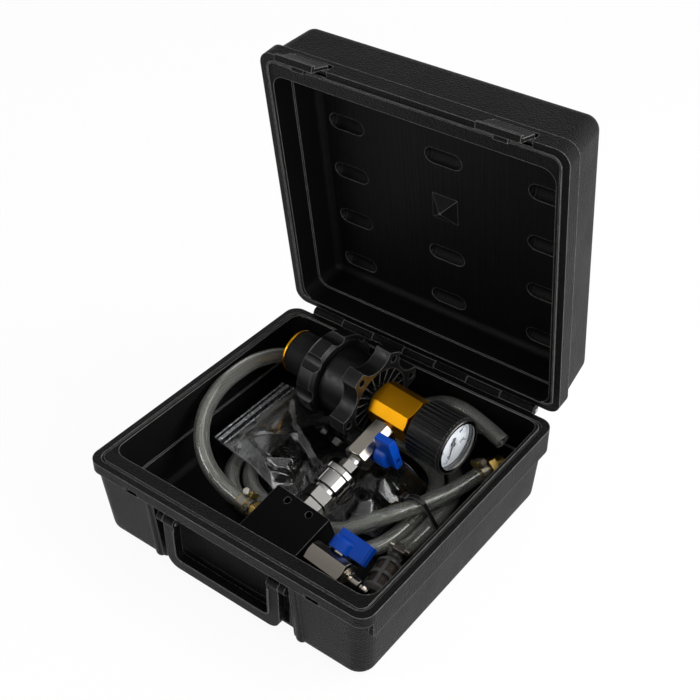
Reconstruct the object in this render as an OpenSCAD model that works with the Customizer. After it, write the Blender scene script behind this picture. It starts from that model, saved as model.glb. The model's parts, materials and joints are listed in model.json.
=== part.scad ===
// Coolant vacuum filler kit: the tool, its hoses and adapters in an open blow-moulded case.
// Millimetres. X runs along the case front, -Y is the handle side, Z is up, and the origin is
// the middle of the case bottom. The lid is drawn open, as the kit is photographed.

/* [Case] */
// Outside width of the case
case_w = 280; // [265:1:310]
// Outside depth of the case, hinge side to handle side
case_d = 265; // [258:1:290]
// Height of the base up to its rim
base_h = 77; // [72:1:95]
// Height of the lid above its rim
lid_h = 58; // [54:1:75]
// Corner radius of the rims, seen from above
corner_r = 12; // [8:1:16]
// Height of the proud band along the sides and back of the base
band_h = 24; // [20:1:26]
// Height of the lip along the front of the base
lip_h = 10; // [9:0.5:11]
// Height of the proud band round the lid
lid_band_h = 14; // [11:1:16]
// How far the band stands proud of the wall beside it
band_step = 2.5; // [1.5:0.5:3]
// How far the front wall stands back under the lip
front_step = 10.5; // [10:0.5:11.5]
// How far the front corners stand back under the lip
pad_in = 1.2; // [0.8:0.2:2]
// How far the front corners lean back between the lip and the bottom
pad_lean = 4.8; // [3:0.2:5.5]
// Half the width of the bay between the front corners
bay_x = 68.5; // [67:0.5:70]
// Width of the column at each side of the bay
column_w = 10.5; // [8:0.5:12]
// How far the outer walls lean in between the band and the bottom
wall_draft = 3; // [2:0.5:4]
// Rounding of the bottom edges and of the lid's top edges
edge_r = 9; // [7:1:10]
// Thickness of the side walls at the rim
side_wall = 10.5; // [9:0.5:12]
// Thickness of the front wall at the rim, with the handle recess in it
front_wall = 19.5; // [18:0.5:21]
// Thickness of the back wall at the rim
back_wall = 6.5; // [6:0.5:7]
// Thickness of the floor
floor_t = 5; // [4.6:0.2:5]
// How far the inside walls lean in from rim to floor
cavity_draft = 4; // [3.4:0.1:4.5]
// Width of the ledge moulded round the inside walls
ledge_w = 1.8; // [1:0.2:2]
// Depth of the base's ledge below its rim
base_ledge = 39; // [34:1:44]
// Depth of the lid's ledge below its rim
lid_ledge = 21; // [16:1:26]
// Distance between the lid's inner panel and its outside
lid_panel_t = 10.5; // [9.5:0.5:13]
// Gap between the two rims when the lid is shut
rim_gap = 0.4; // [0.3:0.1:0.6]
// How far inside the edge the rim groove runs
groove_in = 6; // [5:0.5:7]
// Width of the rim groove
groove_w = 2; // [1.5:0.5:2.5]
// Depth of the rim groove
groove_d = 1.5; // [1:0.25:2]
// Angle of the open lid from shut
lid_open = 81.7; // [70:0.1:90]

/* [Lid panel] */
// Length of each tack-off pocket in the lid panel
pocket_l = 36; // [28:1:40]
// Width of each tack-off pocket
pocket_w = 15; // [10:1:16]
// Depth of each tack-off pocket
pocket_d = 5; // [4:0.5:7]
// Spacing of the pocket columns
pocket_dx = 97.5; // [85:0.5:100]
// Spacing of the pocket rows
pocket_dy = 50.6; // [46:0.1:51]
// Distance of the row nearest the hinge from the lid's middle
pocket_y0 = 104; // [96:1:105]
// Side of the moulded pyramid between the pockets
pyramid_w = 28; // [18:1:30]
// Height of the pyramid
pyramid_h = 9; // [6:0.5:10]

/* [Hinge, handle and latches] */
// Distance of the hinge axis behind the back edge
hinge_out = 5.5; // [5.3:0.1:6.5]
// Radius of the hinge barrel
hinge_r = 4.5; // [4:0.1:4.8]
// Diameter of the hinge pin
hinge_pin_d = 4; // [3:0.5:5]
// Length of the hinge barrel
hinge_len = 236; // [200:2:240]
// Width of the bail handle
handle_w = 117; // [110:1:118]
// Width of the handle's legs
handle_leg = 11; // [9.5:0.5:12.5]
// Height of the handle's bar
handle_bar = 11.5; // [10:0.5:13]
// Thickness of the handle, front to back
handle_t = 7; // [6:0.2:7.4]
// Distance from the handle's pivot to the bottom of its bar
handle_drop = 47.5; // [45:0.5:50]
// Radius of the handle's lower corners
handle_r = 12; // [9:0.5:13]
// Height of the handle's pivot above the case bottom
handle_z = 56; // [54:0.5:58]
// Diameter of the handle's pivot pins
handle_pin_d = 4; // [3:0.5:5]
// Middle of each latch from the case's side
latch_in = 49; // [47:1:54]
// Width of a latch
latch_w = 37; // [30:1:39]
// Length of a latch from its pivot to its tip
latch_len = 21.5; // [20:0.5:23]
// Thickness of a latch plate
latch_t = 3; // [2.5:0.1:3.4]
// Diameter of the latch pins
latch_pin_d = 2.2; // [2:0.1:2.6]
// How far the open latches stand out from their shut position
latch_rest = 20; // [16:1:30]

/* [Filler body] */
// Across the flats of the gold body
body_af = 36; // [34:0.5:37]
// Length of the gold body
body_len = 43; // [42:0.5:44]
// Width of the flats cut on its four corners
body_corner = 11.5; // [9:0.5:13]
// Outside diameter of the centre tube
tube_od = 20; // [18:0.5:21]
// Bore of the centre tube
tube_id = 12; // [9:0.5:14]
// Diameter of the threads that join the fittings
thread_d = 13; // [12.4:0.1:13.6]
// Clearance all round a thread or a spigot in its bore
fit_gap = 0.05; // [0.02:0.01:0.08]

/* [Expander] */
// Radius to the tips of the star handwheel
star_r = 45.5; // [44:0.25:45.75]
// Thickness of the star at its rim
star_t = 16; // [14:0.5:18]
// Count of the star's lobes
star_lobes = 6; // [5:1:6]
// Radius of the star at the bottom of its scallops
star_waist = 33; // [32.5:0.5:35]
// Radius to the holes in the lobes
star_hole_r = 39.3; // [38.5:0.1:39.5]
// Diameter of the holes in the lobes
star_hole_d = 7; // [5:0.5:7.5]
// Outer radius of the recess in the star's face
star_recess_r = 30.5; // [29:0.5:31]
// Depth of that recess
star_recess_d = 11; // [8:0.5:12]
// Count of the thin fins in the recess
star_fins = 18; // [12:1:24]
// Radius of the star's drum
drum_r = 30; // [27:0.5:31]
// Length of the star's drum
drum_len = 30; // [26:0.5:32]
// Radius over the lobes of the fluted collar
collar_r = 39.3; // [37:0.5:39.5]
// Length of the fluted collar
collar_len = 22; // [20:0.5:23]
// Count of the collar's flutes
collar_flutes = 8; // [6:1:10]
// Depth of the collar's flutes
flute_d = 4; // [3:0.5:5]
// Radius of the rubber expander sleeve
sleeve_r = 20; // [18:0.5:21]
// Length of the rubber expander sleeve
sleeve_len = 26; // [22:0.5:30]
// Thickness of the gold end washer
washer_t = 3; // [2:0.25:3.5]

/* [Gauge] */
// Radius of the ribbed rubber boot at the dial
boot_r = 26.5; // [26:0.25:27.5]
// Length of the boot
boot_len = 37; // [34:0.5:38]
// Count of the ribs round the boot
boot_ribs = 36; // [24:2:44]
// Radius of the gauge's steel case
gauge_r = 23.4; // [22:0.2:23.6]
// Radius of the dial
dial_r = 21.8; // [20:0.2:22]
// Length of the pointer from its hub
needle_len = 15; // [12:0.5:17]

/* [Valves] */
// Across the flats of a valve body
valve_af = 22.5; // [21:0.5:24]
// Length of a valve body
valve_len = 38; // [37:0.5:39]
// Width of the corner flats of a valve body
valve_corner = 7; // [5:0.5:8]
// Radius of the valve ball
ball_r = 8; // [7:0.25:8.5]
// Bore through the valve ball
ball_bore = 8; // [6:0.5:9]
// Diameter of the valve stem
stem_d = 6; // [5:0.25:6.5]
// Radius of the lever's hub
lever_hub_r = 10.5; // [9.5:0.5:11.5]
// Length of the lever from the stem to its tip
lever_len = 25; // [20:0.5:27]
// Thickness of the lever's paddle
lever_t = 8; // [6:0.5:9]
// Height of the lever along the stem
lever_h = 18; // [15:0.5:19]
// Twist of the first valve about its own axis
valve_a_twist = 2; // [-4:1:8]
// Twist of the second valve about its own axis
valve_b_twist = 16; // [12:1:20]

/* [Coupler and venturi block] */
// Radius of the coupler's body
coupler_r = 10; // [9.5:0.25:10.5]
// Radius of the coupler's sliding sleeve
slide_r = 13.9; // [13.5:0.1:14.3]
// Radius of the ring at the sleeve's mouth
slide_ring_r = 16; // [15:0.25:16.5]
// Travel of the sliding sleeve
slide_travel = 3.2; // [2:0.2:3.4]
// Across the flats of the coupler's hexagon
coupler_af = 24.5; // [22.5:0.5:25.5]
// Width of the venturi block
block_w = 58; // [56:0.5:60]
// Length of the venturi block away from the coupler
block_l = 54; // [52:0.5:55]
// Thickness of the venturi block
block_t = 27.5; // [26:0.5:28.5]
// Distance of the venturi bore from the block's coupler face
venturi_in = 26; // [24:0.5:27]
// Diameter of the two fixing holes
fix_d = 6; // [5:0.5:6.5]
// Spacing of the two fixing holes
fix_dx = 24; // [23:0.5:26]

/* [Hoses] */
// Outside diameter of the clear hoses
hose_od = 14; // [13:0.25:14.2]
// Bore of the clear hoses
hose_id = 10; // [9.6:0.1:10.4]
// Step between neighbouring turns of the coil
coil_step = 15; // [14.6:0.1:15.5]
// Height of the second layer of the coil above the first
coil_climb = 15; // [14.6:0.1:15.4]
// Radius of the strainer
strainer_r = 11; // [10:0.25:11.5]
// Length of the strainer
strainer_len = 38; // [35:0.5:40]

/* [Bag] */
// Length of the zip bag from its zip to its far end
bag_l = 172; // [165:1:176]
// Widest part of the zip bag
bag_w = 102; // [94:1:104]
// Thickness of the film, drawn thicker than the real one
film_t = 0.8; // [0.5:0.1:1]

/* [Hidden] */
$fn = 48;
eps = 0.01;

// Colours of the materials
black_pe = [0.06, 0.06, 0.06];
charcoal = [0.13, 0.13, 0.14];
gold = [0.93, 0.65, 0.05];
nickel = [0.62, 0.58, 0.53];
chrome = [0.8, 0.8, 0.82];
brass = [0.75, 0.6, 0.25];
steel = [0.6, 0.6, 0.62];
blue = [0.02, 0.17, 0.6];
clear_pvc = [0.78, 0.8, 0.7, 0.5];

// Case: places worked out from the sizes above
hinge_y = case_d / 2 + hinge_out;
hinge_z = base_h + rim_gap / 2;
lid_z = base_h + rim_gap;
cavity_r = 6;
in_x = case_w / 2 - side_wall;
in_front = -case_d / 2 + front_wall;
in_back = case_d / 2 - back_wall;
knuckles = 7;
knuckle_gap = 0.5;
pin_gap = 0.05;
wall_y = -case_d / 2;
front_y = wall_y + front_step;
lip_z = base_h - lip_h;
tub_r = 15;
wall_lean = 0.6;
latch_x = case_w / 2 - latch_in;
catch_z = base_h - 7;
catch_in = 6.4;
recess_w = handle_w + 5;
recess_d = 5;
bead = 0.8;
handle_eye_r = handle_t / 2 + 0.9;
handle_y = wall_y + 0.5 + bead + handle_t / 2;
latch_gap = 0.4;
latch_eye_r = 2.6;
latch_inset = 2.2;
latch_y = wall_y + latch_inset;
latch_z = lid_z + 3.1;
hook_in = 5.4;
hook_h = 4;
hook_w = 12;
hook_gap = 0.8;
hook_top = catch_z - hook_gap - latch_z;

// Filler tool: where it lies in the case, and how it is tilted there
tool_at = [27, 70.6, 73];
tool_roll = 17;
tool_yaw = -6.5;

// Stations along the tool's own X axis
body_x = body_len / 2;
star_face = -body_x - 2.5;
star_back = star_face - star_t;
drum_end = star_back - drum_len;
seat_gap = 0.3;
collar_end = drum_end - seat_gap - collar_len;
collar_nose = 3;
star_turned = 49;
sleeve_x1 = collar_end - collar_nose - seat_gap;
sleeve_x0 = sleeve_x1 - sleeve_len;
tube_x0 = sleeve_x0 - washer_t - 2;
neck_r = 13;
boot_x0 = body_x + 4;
boot_x1 = boot_x0 + boot_len;
gauge_x0 = boot_x0 + 2;
bezel_t = 2.4;
gauge_x1 = boot_x1 - bezel_t;
dial_x = gauge_x1 - 4;
needle_angle = 36;

// Ball slot and stem of both valves
slot_d = 2;
slot_w = 2;
stem_top = valve_af / 2 + 13;

// Stations along the branch, counted from the tool axis towards the block
thread_l = 10;
valve_a0 = body_af / 2 + 2.5;
valve_a1 = valve_a0 + valve_len;
valve_a_mid = valve_a0 + valve_len / 2;
plug_hex0 = valve_a1 + 5;
plug_hex1 = plug_hex0 + 8.5;
slide_0 = plug_hex1 + 3;
slide_len = 20;
slide_1 = slide_0 + slide_len;
spring_0 = slide_0 + 11;
coupler_0 = slide_0 + 5;
coupler_hex0 = slide_1 + slide_travel + 0.6;
coupler_hex1 = coupler_hex0 + 10.5;
nipple_hex0 = coupler_hex1 + 1;
nipple_hex1 = nipple_hex0 + 7.5;
block_0 = nipple_hex1;
block_1 = block_0 + block_l;
venturi_t = block_0 + venturi_in;
fix_t = block_0 + 6.6;
valve_b0 = block_w / 2 + 1.5;
valve_b1 = valve_b0 + valve_len;
valve_b_mid = valve_b0 + valve_len / 2;
barb_hex = 8.5;
barb_0 = -block_w / 2 - barb_hex;
hose_start = barb_0 - 3;
barb_end = hose_start - hose_od + 1;

// A point of the tool's frame, worked out in the case's frame
function turn_x(p, a) = [p[0], p[1] * cos(a) - p[2] * sin(a), p[1] * sin(a) + p[2] * cos(a)];
function turn_z(p, a) = [p[0] * cos(a) - p[1] * sin(a), p[0] * sin(a) + p[1] * cos(a), p[2]];
function tool_pt(p) = tool_at + turn_z(turn_x(p, tool_roll), tool_yaw);

hose_sides = 10;
barb_r = hose_id / 2 * cos(180 / hose_sides) - 0.15;

// Hose routes. The exhaust hose starts on its barb, rises along the left wall, drops behind the
// expander, passes under the star and ends open behind the gauge.
exhaust_free = [[-64, -56.6, 33], [-85, -51, 40], [-103.5, -38.5, 51], [-116, -18, 62], [-121, 6, 69],
    [-121.5, 32, 71], [-120.5, 56, 68.5], [-115.5, 79.5, 62], [-103.5, 98.5, 53.5], [-86, 111, 45],
    [-64, 115.5, 36.5], [-42, 115.5, 30], [-22, 115.5, 28.5], [-4, 115.6, 31.5], [12, 116, 39.5],
    [27, 116.6, 51], [43, 117, 60], [62, 115.5, 63], [84, 112, 60.5], [106, 108, 56]];
exhaust_first = tool_pt([hose_start, -venturi_t, 0]);
exhaust_second = tool_pt([hose_start - hose_od, -venturi_t, 0]);
exhaust_pts = concat([exhaust_first, exhaust_second], exhaust_free);
// The feed hose: from the strainer into the coil, and from the coil up to the brass fitting
coil_mid = [-6, 26];
coil_rx = 97;
coil_ry = 89;
coil_start = -8;
coil_square = 2.8;
coil_rings = 24;
coil_end = 45;
climb_from = 1.72;
climb_over = 0.28;
tie_t = 1.2;
tie_gap = 0.5;
tie_ease = 0.4;
lift_over = 0.14;
tie_at = 0.02;
floor_gap = 0.4;
hose_z = floor_t + hose_od / 2 + floor_gap;
strainer_dir = [-0.18, 0.9837, 0];
strainer_nose = [97, -66, floor_t + strainer_r + floor_gap];
strainer_tail = strainer_nose + strainer_dir * strainer_len;
feed_first = strainer_tail + strainer_dir * 2;
feed_second = feed_first + strainer_dir * hose_od;
tie_lift = tie_t + tie_gap + tie_ease;
top_z = hose_z + coil_climb + tie_lift + 0.6;
tie_top = [77, 23, top_z];
feed_tail = [[64, 0, top_z - 0.4], tie_top, [90, 53, 30], [98, 80, 32]];
feed_last_dir = [0.28, 0.96, 0];

// Coil: spirals in on the floor with slightly squared loops, and climbs a layer towards its end
function squared(v) = sign(v) * pow(abs(v), 2 / coil_square);
function coil_rise(s) = s < climb_from ? 0 : (1 - cos(180 * min(1, (s - climb_from) / climb_over))) / 2;
// Strands pass a little higher where the cable tie runs under them
function lift(s) = let (d = abs(s - tie_at - round(s - tie_at)))
    d < lift_over ? tie_lift * (1 + cos(180 * d / lift_over)) / 2 : 0;
function coil_pt(s) = [
    coil_mid[0] + (coil_rx - coil_step * s) * squared(cos(coil_start + 360 * s)),
    coil_mid[1] + (coil_ry - coil_step * s) * squared(sin(coil_start + 360 * s)),
    hose_z + coil_climb * coil_rise(s) + lift(s)];
coil_pts = [for (i = [1 : coil_end]) coil_pt(i / coil_rings)];
feed_end = feed_tail[len(feed_tail) - 1] + feed_last_dir * hose_od;
feed_join = [89.5, -2, hose_z + 1];
feed_path = concat([feed_first], spline([feed_second, feed_join, coil_pt(tie_at), coil_pts[0]], 2),
    [for (i = [1 : len(coil_pts) - 2]) coil_pts[i]],
    spline(concat([coil_pts[len(coil_pts) - 1]], feed_tail, [feed_end]), 2));
exhaust_path = spline(exhaust_pts, 4);
coil_gap = min([for (i = [0 : len(feed_path) - 1]) for (j = [0 : len(feed_path) - 1])
    if (j > i + 8) norm(feed_path[i] - feed_path[j])]) - hose_od;
function run(p) = [for (i = 0, a = 0; i < len(p) - 1; a = a + norm(p[i + 1] - p[i]), i = i + 1) a];
function path_len(p) = let (r = run(p)) r[len(r) - 1] + norm(p[len(p) - 1] - p[len(p) - 2]);
union() {
    echo("least gap of the feed hose to itself", coil_gap);
    echo("length of the feed hose", path_len(feed_path));
    echo("length of the exhaust hose", path_len(exhaust_path));
}

// Smooth curve through points
function knot(p, i) = p[max(0, min(len(p) - 1, i))];
function bend(a, b, c, d, t) = 0.5 * (2 * b + (c - a) * t + (2 * a - 5 * b + 4 * c - d) * t * t
    + (3 * b - a - 3 * c + d) * t * t * t);
function spline(p, n) = concat([for (i = [0 : len(p) - 2]) for (k = [0 : n - 1])
    bend(knot(p, i - 1), p[i], p[i + 1], knot(p, i + 2), k / n)], [p[len(p) - 1]]);

// Tube swept along a path, as rings of points
function unit(v) = v / norm(v);
function heading(p, i) = unit(knot(p, i + 1) - knot(p, i - 1));
function hoop(at, dir, r, n) = let (side = unit(cross(dir, [0, 0, 1])), over = cross(side, dir))
    [for (j = [0 : n - 1]) at + r * (cos(360 * j / n) * side + sin(360 * j / n) * over)];
module tube(path, r_out, r_in, n) {
    m = len(path);
    rings = [for (r = [r_out, r_in]) for (i = [0 : m - 1]) each hoop(path[i], heading(path, i), r, n)];
    o = m * n;
    e = (m - 1) * n;
    wall = [for (i = [0 : m - 2]) for (j = [0 : n - 1]) let (a = i * n + j, b = i * n + (j + 1) % n)
        each [[a, b, b + n], [a, b + n, a + n], [o + a, o + b + n, o + b], [o + a, o + a + n, o + b + n]]];
    ends = [for (j = [0 : n - 1]) let (a = j, b = (j + 1) % n)
        each [[b, a, o + a], [b, o + a, o + b], [e + a, e + b, o + e + b], [e + a, o + e + b, o + e + a]]];
    polyhedron(rings, concat(wall, ends));
}

// Solid wire swept along a path
module wire(path, r, n) {
    m = len(path);
    rings = [for (i = [0 : m - 1]) each hoop(path[i], heading(path, i), r, n)];
    side = [for (i = [0 : m - 2]) for (j = [0 : n - 1]) let (a = i * n + j, b = i * n + (j + 1) % n)
        each [[a, b, b + n], [a, b + n, a + n]]];
    caps = [for (j = [1 : n - 2]) each [[0, j + 1, j], [(m - 1) * n, (m - 1) * n + j, (m - 1) * n + j + 1]]];
    polyhedron(rings, concat(side, caps));
}

// Skin over closed rings of points, each ring running from -Y over the top
module skin(rings) {
    m = len(rings);
    n = len(rings[0]);
    side = [for (i = [0 : m - 2]) for (j = [0 : n - 1]) let (a = i * n + j, b = i * n + (j + 1) % n)
        each [[a, b, b + n], [a, b + n, a + n]]];
    caps = [for (j = [1 : n - 2]) each [[0, j + 1, j], [(m - 1) * n, (m - 1) * n + j, (m - 1) * n + j + 1]]];
    polyhedron([for (r = rings) each r], concat(side, caps));
}

// Plain shapes used by several pieces
module rounded_rect(w, d, r) {
    square([w - 2 * r, d], center = true);
    square([w, d - 2 * r], center = true);
    for (x = [-1, 1]) for (y = [-1, 1]) translate([x * (w / 2 - r), y * (d / 2 - r)]) circle(r);
}
module stadium(l, w) {
    square([l - w, w], center = true);
    for (x = [-1, 1]) translate([x * (l - w) / 2, 0]) circle(d = w);
}
module rod(x0, x1, r) {
    translate([x0, 0, 0]) rotate([0, 90, 0]) cylinder(h = x1 - x0, r = r);
}
module hex_rod(x0, x1, af) {
    translate([x0, 0, 0]) rotate([0, 90, 0]) cylinder(h = x1 - x0, d = af / cos(30), $fn = 6);
}
// Solid of revolution about X, from pairs of station and radius
module turned(profile) {
    rotate([90, 0, 90]) rotate_extrude()
        polygon([for (p = profile) [p[1], p[0]]]);
}
// Ring about X
module collar_ring(x0, x1, r_out, r_in) {
    difference() {
        rod(x0, x1, r_out);
        rod(x0 - 1, x1 + 1, r_in);
    }
}
// Square bar along X with flats on its corners and turned ends
module cut_bar(len, af, corner, turn) {
    reach = (2 * af - sqrt(2) * corner) / 2 / sqrt(2);
    end_r = af / 2 - 1;
    intersection() {
        cube([len, af, af], center = true);
        rotate([45, 0, 0]) cube([len + 2, 2 * reach, 2 * reach], center = true);
        turned([[-len / 2, 0], [-len / 2, end_r], [-len / 2 + turn, end_r + 2 * turn],
            [len / 2 - turn, end_r + 2 * turn], [len / 2, end_r], [len / 2, 0]]);
    }
}

// Frames
module in_tool() {
    translate(tool_at) rotate([tool_roll, 0, tool_yaw]) children();
}
// The branch: its own +X runs from the tool axis to the block
module on_branch() {
    in_tool() rotate([0, 0, -90]) children();
}
module on_venturi() {
    in_tool() translate([0, -venturi_t, 0]) children();
}
module on_lid() {
    translate([0, hinge_y, hinge_z]) rotate([-lid_open, 0, 0]) translate([0, -hinge_y, -hinge_z]) children();
}
module on_latch(side) {
    on_lid() translate([side * latch_x, latch_y, latch_z]) rotate([-latch_rest, 0, 0]) children();
}
module on_strainer() {
    translate(strainer_nose) rotate([0, 0, atan2(strainer_dir[1], strainer_dir[0])]) children();
}
module on_feed_end() {
    translate(feed_end) rotate([0, 0, atan2(feed_last_dir[1], feed_last_dir[0])]) children();
}

// Case
// Outer walls below the rim, from the bottom up to the height top; the front leans back by lean
module tub(top, y_front, lean, r) {
    x_top = case_w / 2 - band_step;
    y_back = case_d / 2 - band_step;
    hull() {
        translate([0, (y_back + y_front) / 2, top]) linear_extrude(0.5)
            rounded_rect(2 * x_top, y_back - y_front, r, $fn = 32);
        for (x = [-1, 1]) for (y = [y_front + lean + r, y_back - wall_draft - r])
            translate([x * (x_top - wall_draft - r), y, edge_r]) rotate_extrude($fn = 32)
                polygon(concat([[0, 0], [0, -edge_r]],
                    [for (a = [-90 : 15 : 0]) [r - edge_r + edge_r * cos(a), edge_r * sin(a)]]));
    }
}
// Inside of the base or the lid: a ledge runs round its walls, down below the rim
module hollow(h, t, down) {
    y_mid = (in_front + in_back) / 2;
    y_half = (in_back - in_front) / 2;
    step = wall_lean + ledge_w;
    module outline(in) {
        linear_extrude(1) rounded_rect(2 * (in_x - in), 2 * (y_half - in), corner_r - in / 2, $fn = 32);
    }
    translate([0, y_mid, 0]) hull() {
        translate([0, 0, h]) outline(0);
        translate([0, 0, h - down]) outline(wall_lean);
    }
    translate([0, y_mid, 0]) hull() {
        translate([0, 0, h - down]) outline(step);
        for (x = [-1, 1]) for (y = [-1, 1])
            translate([x * (in_x - cavity_draft - cavity_r), y * (y_half - cavity_draft - cavity_r), 0])
                translate([0, 0, t + cavity_r]) sphere(cavity_r, $fn = 24);
    }
}
module band(z0, h) {
    translate([0, 0, z0]) linear_extrude(h) rounded_rect(case_w, case_d, corner_r);
}
// The tongue of the lid that drops into the rim groove
module rim_tongue() {
    side = 0.3;
    out_in = groove_in + side;
    hole_in = groove_in + groove_w - side;
    translate([0, 0, lid_z - groove_d + 0.5]) linear_extrude(groove_d) difference() {
        rounded_rect(case_w - 2 * out_in, case_d - 2 * out_in, corner_r - groove_in / 2 - side);
        rounded_rect(case_w - 2 * hole_in, case_d - 2 * hole_in, corner_r - groove_in / 2 - groove_w + side);
    }
}
module rim_groove() {
    translate([0, 0, base_h - groove_d]) linear_extrude(groove_d + 1) difference() {
        rounded_rect(case_w - 2 * groove_in, case_d - 2 * groove_in, corner_r - groove_in / 2);
        rounded_rect(case_w - 2 * groove_in - 2 * groove_w, case_d - 2 * groove_in - 2 * groove_w,
            corner_r - groove_in / 2 - groove_w);
    }
}
// Knuckles of one half of the hinge: start 0 for the base, 1 for the lid
module hinge_half(start, up) {
    pitch = hinge_len / knuckles;
    x0 = -hinge_len / 2 + knuckle_gap / 2;
    for (i = [start : 2 : knuckles - 1]) translate([x0 + i * pitch, 0, hinge_z]) {
        translate([0, hinge_y, 0]) rotate([0, 90, 0]) cylinder(h = pitch - knuckle_gap, r = hinge_r);
        translate([0, case_d / 2 - 2, up > 0 ? rim_gap / 2 : -hinge_r])
            cube([pitch - knuckle_gap, hinge_out + 2, hinge_r - rim_gap / 2]);
    }
}
module hinge_bore() {
    translate([0, hinge_y, hinge_z]) rotate([0, 90, 0])
        cylinder(h = hinge_len + 20, d = hinge_pin_d + 2 * pin_gap, center = true);
}
module handle_recess() {
    rotate([90, 0, 90]) translate([0, 0, -recess_w / 2]) linear_extrude(recess_w)
        polygon([[wall_y - 1, lip_z], [front_y + recess_d, lip_z], [front_y + recess_d, 16], [front_y, 10],
            [wall_y - 1, 10]]);
}
// The sloped panel behind the handle's window
module recess_slope() {
    w = handle_w - 2 * handle_leg - 2;
    rotate([90, 0, 90]) translate([0, 0, -w / 2]) linear_extrude(w)
        polygon([[wall_y + 3, lip_z + 1], [wall_y + 3, lip_z - 1], [front_y + recess_d + 1, lip_z - 22],
            [front_y + recess_d + 1, lip_z + 1]]);
}
// The bay between the front corners, where the handle hangs
module front_bay() {
    rotate([90, 0, 90]) translate([0, 0, -bay_x]) linear_extrude(2 * bay_x)
        polygon([[wall_y - 1, -1], [front_y + 6.5, -1], [front_y, 8], [front_y, lip_z],
            [wall_y - 1, lip_z]]);
}
// A rounded column at each side of the bay, and the ears that hold the handle's pins
module front_columns() {
    r = column_w / 2;
    for (s = [-1, 1]) translate([s * (bay_x + r), wall_y + 0.2 + r, 0]) hull() {
        translate([0, 0, lip_z]) cylinder(h = 1, r = r, $fn = 32);
        translate([0, pad_lean - 0.4, r + 1]) sphere(r, $fn = 24);
    }
    for (s = [-1, 1]) translate([s * (handle_w / 2 + 0.5 + 3) - 3, handle_y, handle_z]) {
        rotate([0, 90, 0]) cylinder(h = 6, r = handle_eye_r);
        translate([0, 0, -handle_eye_r]) cube([6, front_y + 3 - handle_y, 2 * handle_eye_r]);
    }
}
// Where a latch's hook catches under the rim
module latch_catch() {
    for (s = [-1, 1]) translate([s * latch_x - hook_w / 2 - 0.8, wall_y - 1, catch_z - 6])
        cube([hook_w + 1.6, catch_in + 1, 6]);
}
module handle_pin_bores(extra) {
    for (s = [-1, 1]) translate([s * (handle_w / 2 - handle_leg / 2), handle_y, handle_z])
        rotate([0, 90, 0]) cylinder(h = 28, d = handle_pin_d + 2 * extra, center = true);
}
module case_base() {
    color(black_pe) difference() {
        union() {
            difference() {
                union() {
                    difference() {
                        tub(lip_z, wall_y + pad_in, pad_lean, tub_r);
                        front_bay();
                    }
                    difference() {
                        band(base_h - band_h, band_h);
                        translate([-case_w, wall_y - 1, base_h - band_h - 1])
                            cube([2 * case_w, front_step + 1, band_h - lip_h + 1]);
                    }
                }
                handle_recess();
            }
            recess_slope();
            front_columns();
            hinge_half(0, -1);
        }
        hollow(base_h, floor_t, base_ledge);
        rim_groove();
        latch_catch();
        handle_pin_bores(pin_gap);
        hinge_bore();
    }
}
// Tack-off pocket: a trough with round ends
module pocket() {
    r = (pocket_w * pocket_w / 4 + pocket_d * pocket_d) / (2 * pocket_d);
    half = (pocket_l - pocket_w) / 2;
    translate([0, 0, pocket_d - r]) turned(concat(
        [for (a = [-90 : 22.5 : 0]) [-half + r * sin(a), r * cos(a)]],
        [for (a = [0 : 22.5 : 90]) [half + r * sin(a), r * cos(a)]]));
}
module lid_shut() {
    panel_z = lid_z + lid_h - lid_panel_t;
    difference() {
        union() {
            translate([0, 0, lid_z + lid_h]) mirror([0, 0, 1])
                tub(lid_h - lid_band_h, wall_y + band_step, 1, corner_r);
            band(lid_z, lid_band_h);
            rim_tongue();
            hinge_half(1, 1);
        }
        translate([0, 0, lid_z + lid_h]) mirror([0, 0, 1]) hollow(lid_h, lid_panel_t, lid_ledge);
        for (cx = [-1 : 1]) for (row = [0 : 3]) if (cx != 0 || row != 2)
            translate([cx * pocket_dx, pocket_y0 - row * pocket_dy, panel_z]) pocket();
        for (s = [-1, 1]) {
            translate([s * latch_x - latch_w / 2 - 0.5, wall_y - 1, lid_z - 1])
                cube([latch_w + 1, latch_inset + latch_eye_r + 1.4, 10.4]);
            translate([s * latch_x, latch_y, latch_z]) rotate([0, 90, 0])
                cylinder(h = latch_w + 20, d = latch_pin_d + 2 * pin_gap, center = true);
        }
        hinge_bore();
    }
    difference() {
        translate([0, pocket_y0 - 2 * pocket_dy, panel_z - pyramid_h]) rotate([0, 0, 45])
            cylinder(h = pyramid_h + 1, d1 = 1, d2 = pyramid_w * sqrt(2), $fn = 4);
        translate([0, pocket_y0 - 2 * pocket_dy, panel_z - pyramid_h - 1]) cylinder(h = 4, d = 1.6);
    }
}
module case_lid() {
    color(black_pe) on_lid() lid_shut();
}
module hinge_pin() {
    color(steel) translate([0, hinge_y, hinge_z]) rotate([0, 90, 0])
        cylinder(h = hinge_len + 2, d = hinge_pin_d, center = true);
}
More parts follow.
